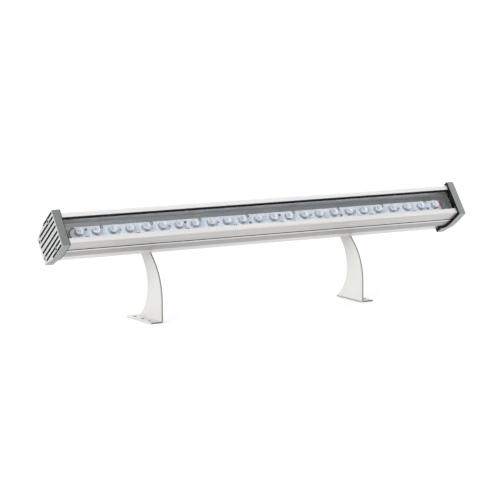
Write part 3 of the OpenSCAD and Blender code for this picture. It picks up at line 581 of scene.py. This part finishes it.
def galvanised_sheet():
    """Galvanised steel sheet: grey zinc crystals of about 10 mm that catch light differently."""
    material, tree, shader = blank_material("Galvanised steel sheet", Metallic=1.0, Roughness=0.4)
    crystals = add(tree, 'ShaderNodeTexVoronoi', {"Vector": object_place(tree), "Scale": 100.0})
    grey = add(tree, 'ShaderNodeSeparateColor', {"Color": crystals.outputs["Color"]}).outputs
    tint = blend(tree, grey[0], four(linear("#a5a9ab")), four(linear("#c3c7c8")))
    link_finish(tree, shader, tint, spread(tree, grey[1], 0.3, 0.5))
    return material


class WALLWASHER_OT_housing(bpy.types.Operator):
    """Dress the housing extrusion: rounded edges and anodised aluminium"""
    bl_idname = "wall_washer.housing"
    bl_label = "Housing extrusion"

    def execute(self, context):
        settings = context.scene.wall_washer
        colour = settings.aluminium_colour
        # Besides the plain finish, the extrusion gets painted shade and painted highlights, set face
        # by face below
        body = rounded_copy("housing_extrusion", [
            anodised_aluminium("Anodised aluminium extrusion", colour),
            anodised_aluminium("Anodised aluminium taper in painted shade", shade(colour, 0.7)),
            powder_coat("Painted shade in the aluminium groove", linear("#0b0b0c"), 1.0, 0.8),
            anodised_aluminium("Anodised aluminium with a painted highlight", shade(colour, 1.22)),
            anodised_aluminium("Anodised aluminium channel wall in painted light and shade", shade(colour, 1.45),
                               ("Y", 14, BOARD_FACE, 0.6)),
            anodised_aluminium("Anodised aluminium channel floor in painted shade and light", shade(colour, 0.6),
                               ("X", 440, 462, 2.2))], settings.edge_rounding, 2, 33)
        taper, groove, edge, wall, floor = range(1, 6)
        half = max(abs(head_place(vert.co).z) for vert in body.data.vertices)
        for vert in body.data.vertices:
            place = head_place(vert.co)
            if GROOVE_AT + 1.2 < place.y < GROOVE_AT + 3 and abs(place.z) > half - 1.2:
                vert.co += HEAD.to_3x3() @ Vector((0, GROOVE_WIDER * MM, 0))
        groove_end = GROOVE_AT + GROOVE_WIDTH + GROOVE_WIDER
        for polygon in body.data.polygons:
            place = head_place(polygon.center)
            normal = TO_HEAD.to_3x3() @ polygon.normal
            deep, outward = half - abs(place.z), normal.z * place.z > 0
            # Painted shade in the groove
            if GROOVE_AT - 0.2 < place.y < groove_end + 0.2 and 0.1 < deep < 1.2:
                polygon.material_index = groove
            # Painted highlight on the strip under the groove
            elif groove_end < place.y < TAPER_AT and deep < 0.1:
                polygon.material_index = edge
            # Painted shade on the taper
            elif TAPER_AT < place.y < LEG_AT and abs(place.z) > 24.5 and outward:
                polygon.material_index = taper
            # Painted highlight on the flanks of the leg
            elif place.y > LEG_AT and abs(place.z) > 23 and outward:
                polygon.material_index = edge
            # Painted light on the channel walls near the glass, fading to painted shade at the boards
            elif 9 < place.y < 33 and 10 < deep < 16 and abs(normal.z) > 0.7:
                polygon.material_index = wall
            # Painted shade on the channel floor, turning to painted light at its right end
            elif 32 < place.y < 34 and normal.y < -0.9 and deep > 11:
                polygon.material_index = floor
        stand_for(body, "housing", "housing_extrusion")
        return {'FINISHED'}


class WALLWASHER_OT_glazing(bpy.types.Operator):
    """Dress the front glass, its seals, the cap gaskets and the grommets"""
    bl_idname = "wall_washer.glazing"
    bl_label = "Glass and rubber"

    def execute(self, context):
        repaint("front_glass", toughened_glass())
        rubber = silicone_rubber()
        for node in ("upper_glass_seal", "lower_glass_seal"):
            dress(node, "seal_rubber", rubber, 0.5 * MM, 3)
        for node in ("left_cap_gasket", "right_cap_gasket", "gland_seal", "wire_grommets"):
            dress(node, "seal_rubber", rubber, 0.25 * MM)
        return {'FINISHED'}


class WALLWASHER_OT_led_row(bpy.types.Operator):
    """Build the row of lens holders, lenses and LED packages"""
    bl_idname = "wall_washer.led_row"
    bl_label = "Lenses and LEDs"

    def execute(self, context):
        settings = context.scene.wall_washer
        r = settings.lens_diameter / MM / 2
        h = settings.lens_height / MM
        tree = row_tree()
        row = {"Count": settings.led_count, "Pitch": settings.led_pitch,
               "First place": led_place(0, BOARD_FACE) * MM}

        tube = turned("lens holder", [
            (0, r - 0.85), (0, r), (0.7, r), (0.9, r - 0.12), (h - 1.5, r - 0.2), (h - 1.1, r - 0.3),
            (h - 1, r - 0.4), (h - 1.05, r - 0.85)], 40, closed=True)
        holders = grown("lens_holder_tubes", tree, tube,
                        moulded_plastic("Moulded polyamide holder", "#8693a2", 0.42), **row)
        stand_for(holders, "lens_holder", "lens_holders")

        dish = [(h - 0.35 - 1.85 * (1 - (t / 8) ** 2), 4.5 * t / 8) for t in range(8, -1, -1)]
        lens = turned("lens", [
            (2.4, 0), (2.4, 3.2), (2.6, 4.0), (5.2, 6.2), (7.6, 7.5), (h - 1.05, r - 0.95),
            (h - 1, r - 0.4), (h - 0.9, r - 0.1), (h - 0.7, r), (h - 0.3, r), (h - 0.1, r - 0.1),
            (h, r - 0.35), (h, r - 0.9), (h - 0.2, r - 1.2), (h - 0.3, 4.8), *dish], 40)
        lenses = grown("lens_bodies", tree, lens, moulded_acrylic(settings), **row)
        stand_for(lenses, "lens", "lenses")

        package = blocks("led package", [((-1.75, -1.0, -1.75), (1.75, 0, 1.75))], 0.15)
        packages = grown("led_packages", tree, package,
                         moulded_plastic("White ceramic package", "#efeee8", 0.35, 0.5), **row)
        stand_for(packages, "emitter", "led_emitters")
        arc = [(0.95 + 0.85 * sin(radians(a)), 1.35 * cos(radians(a))) for a in (0, 20, 40, 60, 78)]
        dome = turned("led dome", [*arc, (1.8, 0)], 20)
        domes = grown("led_domes", tree, dome,
                      moulded_plastic("Phosphor in silicone", "#e8d24a", 0.25, 0.4), **row)
        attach(domes, "light_head")
        return {'FINISHED'}


class WALLWASHER_OT_boards(bpy.types.Operator):
    """Dress the LED boards and build the small parts, solder pads and screws on them"""
    bl_idname = "wall_washer.boards"
    bl_label = "LED boards"

    def execute(self, context):
        settings = context.scene.wall_washer
        mask = solder_mask_board(settings)
        for node in ("left_led_board", "right_led_board"):
            dress(node, "board", mask, 0.2 * MM, 1)

        groups = (settings.led_count + 2) // 3
        row = row_tree()
        epoxy = moulded_plastic("Black epoxy moulding", "#121316", 0.4)
        solder = metal("Tinned solder", "#dcdee2", 0.25, 700)

        def every_third(name, shape, material, place, count=groups):
            """Copies of a small part that repeats every three LEDs."""
            return grown(name, row, shape, material, **{
                "Count": count, "Pitch": 3 * settings.led_pitch, "First place": place * MM})

        # Chip resistors are drawn a little larger than they are, so that they show
        low_edge = led_place(0.5, BOARD_FACE, -10)
        shape = blocks("chip resistors", [((x - 1.1, -1.15, -1.25), (x + 1.1, 0, 1.25))
                                          for x in (-2.5, 2.5)], 0.12)
        resistors = every_third("chip_resistors", shape, epoxy, low_edge)
        stand_for(resistors, "component", "board_components")
        shape = blocks("resistor ends", [((x - 1.1, -1.2, w - 0.25), (x + 1.1, 0, w + 0.25))
                                         for x in (-2.5, 2.5) for w in (-1.5, 1.5)], 0.1)
        ends = every_third("chip_resistor_ends", shape, solder, low_edge)
        # A ring lies near the upper edge of the board, to the right of the middle LED of three
        shape = turned("solder ring", [(0, 2.2), (0, 3.6), (0.8, 3.55), (1.2, 3.25), (1.3, 2.9),
                                       (1.2, 2.55), (0.7, 2.25)], 28, closed=True)
        rings = every_third("component_rings", shape,
                            moulded_plastic("Dark ferrite ring", "#141313", 0.5),
                            led_place(1, BOARD_FACE, 9.8) + Vector((17, 0, 0)))
        # Two pads between every third LED and the next, one above and one below the middle line
        shape = blocks("solder pads", [((-2.8, -0.3, w - 1.8), (2.8, 0, w + 1.8))
                                       for w in (-9, 9)], 0.14)
        pads = every_third("solder_pads", shape,
                           moulded_plastic("White silk screen pad", "#fdfdfd", 0.4),
                           led_place(2.5, BOARD_FACE), groups - 1)
        links = blocks("board_link_strips", [
            ((LED_SHIFT - 4.5, BOARD_FACE - 0.3, low), (LED_SHIFT + 4.5, BOARD_FACE, low + 2.6))
            for low in (-6.1, 3.5)], 0.14, 3)
        links.transform(HEAD)
        stand_for(put("board_link_strips", links, solder), "solder", "board_links")

        places = places_tree()
        # A driver chip between every third LED and the next, but none where the boards meet
        dot = turned("driver chip dome", [
            (0, 1.6), (0.5, 1.6), (0.9, 1.35), (1.12, 0.9), (1.2, 0)], 24)
        middle = (settings.led_count - 1) / 2
        dots = grown("chip_domes", places, dot, epoxy, places=[
            led_place(i + 2.5, BOARD_FACE) for i in range(0, settings.led_count - 3, 3)
            if i + 2.5 != middle])
        for piece in (ends, rings, pads, dots):
            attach(piece, "light_head")

        # Board screws: the LED, or the place between two, and the side of the middle line
        steel = metal("Black oxide screw", "#64666a", 0.36)
        last = settings.led_count
        spots = [(0.5, 1), (6.5, 1), (10.5, -1), (last - 11.5, 1), (last - 7.5, -1), (last - 1.5, -1)]
        screw = turned("board screw", [
            (-5, 0), (-5, 1.2), (-4.7, 1.5), (0, 1.5), (0, 2.8), (0.9, 2.75), (1.6, 2.3), (1.95, 1.5),
            (2.0, 0.95, True), (1.0, 0.85, True), (0.9, 0)], 24)
        screws = grown("board_screw_set", places, screw, steel, places=[
            led_place(i, BOARD_FACE, side * 6.5) for i, side in spots])
        stand_for(screws, "screw_steel", "board_screws")
        return {'FINISHED'}


class WALLWASHER_OT_feed(bpy.types.Operator):
    """Dress the feed terminals and the red and black leads"""
    bl_idname = "wall_washer.feed"
    bl_label = "Feed leads"

    def execute(self, context):
        dress("feed_terminals", "white_plastic",
              moulded_plastic("White polyamide terminal", "#eceae4", 0.4), 0.2 * MM)
        for node, slot, name, code, bulge, fatter in (
                ("red_feed_lead", "red_lead", "Red silicone lead", "#6b1614", 0.8, 1.2),
                ("black_feed_lead", "black_lead", "Black silicone lead", "#0e0e10", 0.85, 0.15),
                ("mains_leads", "mains_lead", "Brown mains lead", "#5f4a33", 1, 0)):
            lead = rounded_copy(node, [moulded_plastic(name, code, 0.38, 1.2)], 0.15 * MM, 1, 40)
            if bulge < 1:
                self.flatten_loop(lead.data, bulge, fatter * MM)
            stand_for(lead, slot, node)
        return {'FINISHED'}

    @staticmethod
    def flatten_loop(mesh, bulge, fatter):
        """Fattens a lead a little, and draws its loop in to a share of how far it stands out."""
        mesh.transform(TO_HEAD)
        side = 1 if sum(vert.co.x for vert in mesh.vertices) > 0 else -1
        low = min(vert.co.z for vert in mesh.vertices)
        high = max(vert.co.z for vert in mesh.vertices)
        middle = (low + high) / 2
        radius = (high - low) / 2
        centre = max(side * vert.co.x for vert in mesh.vertices) - radius
        lead_radius = 1.2 * MM
        for vert, normal in [(vert, vert.normal.copy()) for vert in mesh.vertices]:
            out, up = side * vert.co.x - centre, vert.co.z - middle
            if out > 0:
                vert.co.x -= side * (1 - bulge) * (radius - lead_radius) * out / hypot(out, up)
            vert.co += normal * fatter
        mesh.transform(HEAD)


class WALLWASHER_OT_end_caps(bpy.types.Operator):
    """Dress the cast end caps and build their socket screws"""
    bl_idname = "wall_washer.end_caps"
    bl_label = "End caps"

    def execute(self, context):
        settings = context.scene.wall_washer
        flank = powder_coat("Grey powder coat on cap sides in painted light", settings.cap_side_colour, 1.4, 0.5,
                            0.0002, 0.5)
        face = powder_coat("Pale ribbed casting", settings.cap_face_colour, 1.2, 0.5, 0.00015, 0.4)
        hollow = powder_coat("Shaded slot casting", linear("#343838"), 1.2, 0.7, 0.0001, 0.3)
        # The front rims carry painted shade, deeper on the left cap and lighter on the right, for how
        # each cap is lit
        for side, node, finish, share in (
                (-1, "left_end_cap", "Left cap rim in deeper painted shade", 0.88),
                (1, "right_end_cap", "Right cap rim in lighter painted shade", 1.18)):
            rim = powder_coat(finish, shade(settings.cap_colour, share), 1.4, 0.5, 0.0002, 0.5)
            cap = rounded_copy(node, [rim, face, hollow, flank], settings.cast_rounding, 3, 30)
            for polygon in cap.data.polygons:
                place = head_place(polygon.center)
                out = side * place.x
                inside = self.depth_in_outline(place)
                if inside > 0.8 and out > CAP_OUT - 0.12:
                    polygon.material_index = 1
                elif inside > 1.6 and out > CAP_IN + 1:
                    polygon.material_index = 2
                # Faces not turned to the front get painted light; those turned to the front keep the
                # rim's painted shade
                elif (TO_HEAD.to_3x3() @ polygon.normal).y > -0.6:
                    polygon.material_index = 3
            stand_for(cap, "cap", node)

        steel = metal("Stainless socket screw", "#b0b2b5", 0.3)
        screw = turned("cap screw", [
            (-26, 0), (-26, 1.6), (-25.5, 2.0), (0, 2.0), (0, 3.5), (0.15, 3.6), (2.6, 3.6),
            (2.95, 3.3), (3.0, 3.0), (3.0, 2.85), (2.9, 2.6, True), (1.2, 2.55, True), (1.0, 0)], 36)
        # A dark disc in each socket paints the shade inside the sockets of the screws
        fill = turned("socket fill", [(1.1, 0), (1.1, 2.5, True), (2.7, 2.55, True), (2.6, 0)], 36)
        dark = moulded_plastic("Painted shade in the screw sockets", "#0c0c0d", 0.6)
        tree = places_tree()
        for side, end in ((-1, "left"), (1, "right")):
            places = [(side * (CAP_OUT - 3), v, w * half) for v, w in CAP_SCREWS for half in (-1, 1)]
            made = []
            for form, ending, material in ((screw, "", steel), (fill, "_sockets", dark)):
                shape = form.copy()
                shape.transform(Matrix.Rotation(side * pi / 2, 4, 'Z'))
                made.append(grown(end + "_cap_screw_set" + ending, tree, shape, material,
                                  places=places))
            screws, fills = made
            stand_for(screws, "screw_steel", end + "_cap_screws")
            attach(fills, "light_head")
        return {'FINISHED'}

    @staticmethod
    def depth_in_outline(place):
        """How far a place lies inside the outline of a cap, roughly, in millimetres."""
        v, w = place.y, abs(place.z)
        points = [(0.0, 42), (40, 42), (49.7, 41.5), (57.6, 40.5), (63.8, 39.1), (69.5, 37.3),
                  (75.2, 34.6), (79.6, 32.3), (84, 31), (CAP_DEPTH, 31)]
        half = points[-1][1]
        for (v0, w0), (v1, w1) in zip(points, points[1:]):
            if v0 <= v <= v1:
                half = w0 + (w1 - w0) * (v - v0) / (v1 - v0)
        return min(v, CAP_DEPTH - v, half - w)


class WALLWASHER_OT_gland(bpy.types.Operator):
    """Dress the cable gland in the right cap"""
    bl_idname = "wall_washer.gland"
    bl_label = "Cable gland"

    def execute(self, context):
        plated = metal("Nickel plated brass", "#c6c2b8", 0.24)
        for node in ("gland_body", "gland_locknut", "gland_dome_nut"):
            dress(node, "gland", plated, 0.3 * MM, 2, 30)
        return {'FINISHED'}


class WALLWASHER_OT_rail_clamps(bpy.types.Operator):
    """Dress the lugs and slide nuts and build the tilt bolts, nuts, washers and screws"""
    bl_idname = "wall_washer.rail_clamps"
    bl_label = "Rail clamps"

    def execute(self, context):
        settings = context.scene.wall_washer
        grey = powder_coat("Grey powder coated lug", linear("#b9bcbc"), 1.4, 0.5)
        steel = metal("Stainless steel fastener", "#b9bbbe", 0.26)
        for node in ("left_mount_lug", "right_mount_lug"):
            dress(node, "cap", grey, settings.cast_rounding, 3)
        for node in ("left_slide_nut", "right_slide_nut"):
            nut = rounded_copy(node, [steel], 0.4 * MM)
            # A hair smaller than the rail, so that the two skins don't lie in each other
            middle = sum((vert.co for vert in nut.data.vertices), Vector()) / len(nut.data.vertices)
            nut.data.transform(Matrix.Translation(middle) @ Matrix.Scale(0.996, 4)
                               @ Matrix.Translation(-middle))
            stand_for(nut, "screw_steel", node)

        # Shapes stand along -Y, and are turned to point along X on each side
        axis = TILT_AXIS / MM
        tree = places_tree()

        def both_sides(name, node, profile):
            halves = []
            for side in (-1, 1):
                shape = turned(name, profile, 36)
                shape.transform(Matrix.Rotation(side * pi / 2, 4, 'Z'))
                halves.append(grown(name + ("_left" if side < 0 else "_right"), tree, shape, steel,
                                    NO_TILT, [(side * ARM_X, axis.y, axis.z)]))
            work = bmesh.new()
            for half in halves:
                work.from_mesh(half.data)
                bpy.data.objects.remove(half)
            piece = put(name, finished_mesh(name, work), steel)
            return stand_for(piece, "screw_steel", node)

        thread = []
        for i in range(9):
            thread += [(-17.6 + i * 1.1, 3.55), (-17.05 + i * 1.1, 3.98)]
        both_sides("tilt_bolts", "pivot_bolts", [
            (-17.9, 0), (-17.9, 3.2), *thread, (-7.6, 4.0), (0, 4.0), (0, 6.1), (0.3, 6.5, True),
            (4.5, 6.5, True), (5.0, 6.2), (5.28, 5.6), (5.28, 0)])
        both_sides("tilt_nuts", "pivot_nuts", [
            (-16.4, 4.06), (-16.4, 5.4), (-16.0, 5.9), (-15.2, 6.2), (-14.9, 6.5, True),
            (-10.4, 6.5, True), (-10.1, 6.1), (-10.0, 4.06)])
        dress("pivot_washers", "screw_steel", steel, 0.2 * MM)

        # Lug screws stand on the back of the lugs, so their heads point away along +Y
        screw = turned("lug screw", [
            (-15, 0), (-15, 2.1), (-14.6, 2.5), (0, 2.5), (0, 4.2), (0.3, 4.25), (2.2, 4.1),
            (2.8, 3.4), (3.0, 2.2), (3.0, 1.75, True), (1.5, 1.65, True), (1.4, 0)], 30)
        screw.transform(Matrix.Rotation(pi, 4, 'Z'))
        screws = grown("lug_screw_set", tree, screw, steel, places=[
            (side * x, LUG_BACK, 0) for side in (-1, 1) for x in LUG_SCREWS_X])
        stand_for(screws, "screw_steel", "lug_screws")
        return {'FINISHED'}


class WALLWASHER_OT_brackets(bpy.types.Operator):
    """Dress the bent bracket arms: rounded sheet edges and off-white powder coat"""
    bl_idname = "wall_washer.brackets"
    bl_label = "Bracket arms"

    def execute(self, context):
        settings = context.scene.wall_washer
        coat = powder_coat("Off-white powder coat", settings.bracket_colour, 1.6, 0.42, 0.0001, 0.25)
        edge = powder_coat("Painted shade on the front edges of the arms", linear("#868783"), 1.6, 0.5, 0.0001, 0.25)
        hole = powder_coat("Painted shade in the foot holes", linear("#2c2d2b"), 1.6, 0.6, 0.0001, 0.25)
        for node in ("left_bracket_arm", "right_bracket_arm"):
            arm = rounded_copy(node, [coat, edge, hole], settings.edge_rounding, 3, 30)
            for polygon in arm.data.polygons:
                place, normal = polygon.center / MM, polygon.normal
                # The walls of the foot holes get painted shade
                if (abs(abs(place.x) - FOOT_HOLE_X) < 4.5 and place.z < 3 and -25 < place.y < 62
                        and abs(normal.z) < 0.5):
                    polygon.material_index = 2
                # Edges turned to the front get painted shade
                elif normal.y < -0.4 and abs(normal.x) < 0.4:
                    polygon.material_index = 1
            stand_for(arm, "bracket", node)
        return {'FINISHED'}


class WALLWASHER_OT_driver(bpy.types.Operator):
    """Dress the LED driver and the mains terminal block inside the housing"""
    bl_idname = "wall_washer.driver"
    bl_label = "Driver"

    def execute(self, context):
        sheet = galvanised_sheet()
        for node, slot, material in (
                ("driver_base", "driver_sheet", sheet),
                ("driver_cover", "driver_sheet", sheet),
                ("driver_circuit_board", "circuit_board",
                 moulded_plastic("Green circuit board", "#3f6f48", 0.35)),
                ("driver_components", "component",
                 moulded_plastic("Black wound parts", "#26272a", 0.5)),
                ("driver_screws", "screw_steel", metal("Zinc plated screw", "#b2b5b8", 0.3)),
                ("mains_terminal_block", "white_plastic",
                 moulded_plastic("White terminal block", "#e9e7e0", 0.4))):
            dress(node, slot, material, 0.25 * MM)
        return {'FINISHED'}


class WALLWASHER_OT_stage(bpy.types.Operator):
    """Set up the floor, the light and the camera"""
    bl_idname = "wall_washer.stage"
    bl_label = "Studio"

    def execute(self, context):
        settings = context.scene.wall_washer
        scene = context.scene
        scene.view_settings.view_transform = 'Standard'

        # Camera at the viewing angle of the photograph
        yaw, pitch, roll = radians(30.321), radians(7.981), radians(-0.25)
        turn = (Matrix.Rotation(-yaw, 4, 'Z') @ Matrix.Rotation(pi / 2 - pitch, 4, 'X')
                @ Matrix.Rotation(roll, 4, 'Z'))
        lens = bpy.data.cameras.new("Camera")
        lens.sensor_width = 36
        lens.lens = 145.12
        lens.clip_start = 0.05
        lens.clip_end = 200
        camera = bpy.data.objects.new("Camera", lens)
        scene.collection.objects.link(camera)
        camera.matrix_world = Matrix.Translation(Vector((-2197.7, -3731.7, 738.6)) * MM) @ turn
        scene.camera = camera

        # Floor: white to the camera and half so in reflections, with the shadow kept faint. It lies a
        # hair under the feet, and from below it is seen through, so that the underside shows.
        work = bmesh.new()
        bmesh.ops.create_circle(work, cap_ends=True, radius=60, segments=96,
                                matrix=Matrix.Translation((0, 0, -0.2 * MM)))
        mesh = bpy.data.meshes.new("studio_floor")
        work.to_mesh(mesh)
        work.free()
        material, tree, shader = blank_material("Matt studio floor", Metallic=0.0, Roughness=0.9)
        grain = noise(tree, object_place(tree), 90.0, 3.0)
        paper = blend(tree, grain, shade(settings.floor_colour, 0.97), four(settings.floor_colour))
        tree.links.new(paper, shader.inputs["Base Color"])
        path = add(tree, 'ShaderNodeLightPath').outputs
        seen = maths(tree, 'MAXIMUM', path["Is Camera Ray"], path["Is Transmission Ray"])
        seen = maths(tree, 'MAXIMUM', seen, maths(tree, 'MULTIPLY', path["Is Glossy Ray"], 0.4))
        pale = add(tree, 'ShaderNodeBsdfDiffuse', {"Color": (0.35, 0.35, 0.35, 1)})
        # Close under the feet and in their holes the white gives way to shade
        nearby = add(tree, 'ShaderNodeAmbientOcclusion', {"Distance": 0.02}).outputs["AO"]
        glow = add(tree, 'ShaderNodeEmission', {
            "Color": (1, 1, 1, 1), "Strength": spread(tree, nearby, 0.0, 0.74, 0.1, 0.95)})
        both = add(tree, 'ShaderNodeAddShader', {0: pale.outputs[0], 1: glow.outputs[0]})
        mixed = mix_shaders(tree, seen, shader.outputs["BSDF"], both.outputs[0])
        clear = add(tree, 'ShaderNodeBsdfTransparent').outputs["BSDF"]
        behind = add(tree, 'ShaderNodeNewGeometry').outputs["Backfacing"]
        link_surface(tree, mix_shaders(tree, behind, mixed, clear))
        put("studio_floor", mesh, material)

        # World: even light, and plain white where the camera or a reflection sees it
        world = bpy.data.worlds.new("Studio")
        scene.world = world
        world.use_nodes = True
        tree = world.node_tree
        tree.nodes.clear()
        path = add(tree, 'ShaderNodeLightPath').outputs
        seen = maths(tree, 'MAXIMUM', path["Is Camera Ray"], path["Is Glossy Ray"])
        seen = maths(tree, 'MAXIMUM', seen, path["Is Transmission Ray"])
        sky = add(tree, 'ShaderNodeBackground', {"Color": (1, 1, 1, 1),
                                                 "Strength": spread(tree, seen, 0.5, 1.0)})
        add(tree, 'ShaderNodeOutputWorld', {"Surface": sky.outputs["Background"]})

        for name, towards, power, width in (("Key", (-0.82, -0.45, 0.34), 1.55, 30),
                                            ("Fill", (0.45, 0.35, 0.82), 0.9, 60)):
            lamp = bpy.data.lights.new(name, 'SUN')
            lamp.energy = power
            lamp.angle = radians(width)
            holder = bpy.data.objects.new(name, lamp)
            scene.collection.objects.link(holder)
            holder.rotation_euler = Vector(towards).to_track_quat('Z', 'Y').to_euler()
        return {'FINISHED'}


class WALLWASHER_PT_panel(bpy.types.Panel):
    """Lists the sizes, the colours and the steps"""
    bl_label = "Wall washer light"
    bl_idname = "WALLWASHER_PT_panel"
    bl_space_type = 'VIEW_3D'
    bl_region_type = 'UI'
    bl_category = "Wall washer"

    def draw(self, context):
        settings = context.scene.wall_washer
        for name in WallWasherSettings.__annotations__:
            self.layout.prop(settings, name)
        for step in STEPS:
            self.layout.operator(step.bl_idname)


STEPS = (WALLWASHER_OT_stage, WALLWASHER_OT_housing, WALLWASHER_OT_glazing, WALLWASHER_OT_led_row,
         WALLWASHER_OT_boards, WALLWASHER_OT_feed, WALLWASHER_OT_end_caps, WALLWASHER_OT_gland,
         WALLWASHER_OT_rail_clamps, WALLWASHER_OT_brackets, WALLWASHER_OT_driver)
CLASSES = (WallWasherSettings, *STEPS, WALLWASHER_PT_panel)


def register():
    for each in CLASSES:
        bpy.utils.register_class(each)
    bpy.types.Scene.wall_washer = bpy.props.PointerProperty(type=WallWasherSettings)


def unregister():
    del bpy.types.Scene.wall_washer
    for each in reversed(CLASSES):
        bpy.utils.unregister_class(each)


def main():
    register()
    bpy.ops.wall_washer.stage()
    bpy.ops.wall_washer.housing()
    bpy.ops.wall_washer.glazing()
    bpy.ops.wall_washer.led_row()
    bpy.ops.wall_washer.boards()
    bpy.ops.wall_washer.feed()
    bpy.ops.wall_washer.end_caps()
    bpy.ops.wall_washer.gland()
    bpy.ops.wall_washer.rail_clamps()
    bpy.ops.wall_washer.brackets()
    bpy.ops.wall_washer.driver()


if __name__ == "__main__":
    main()
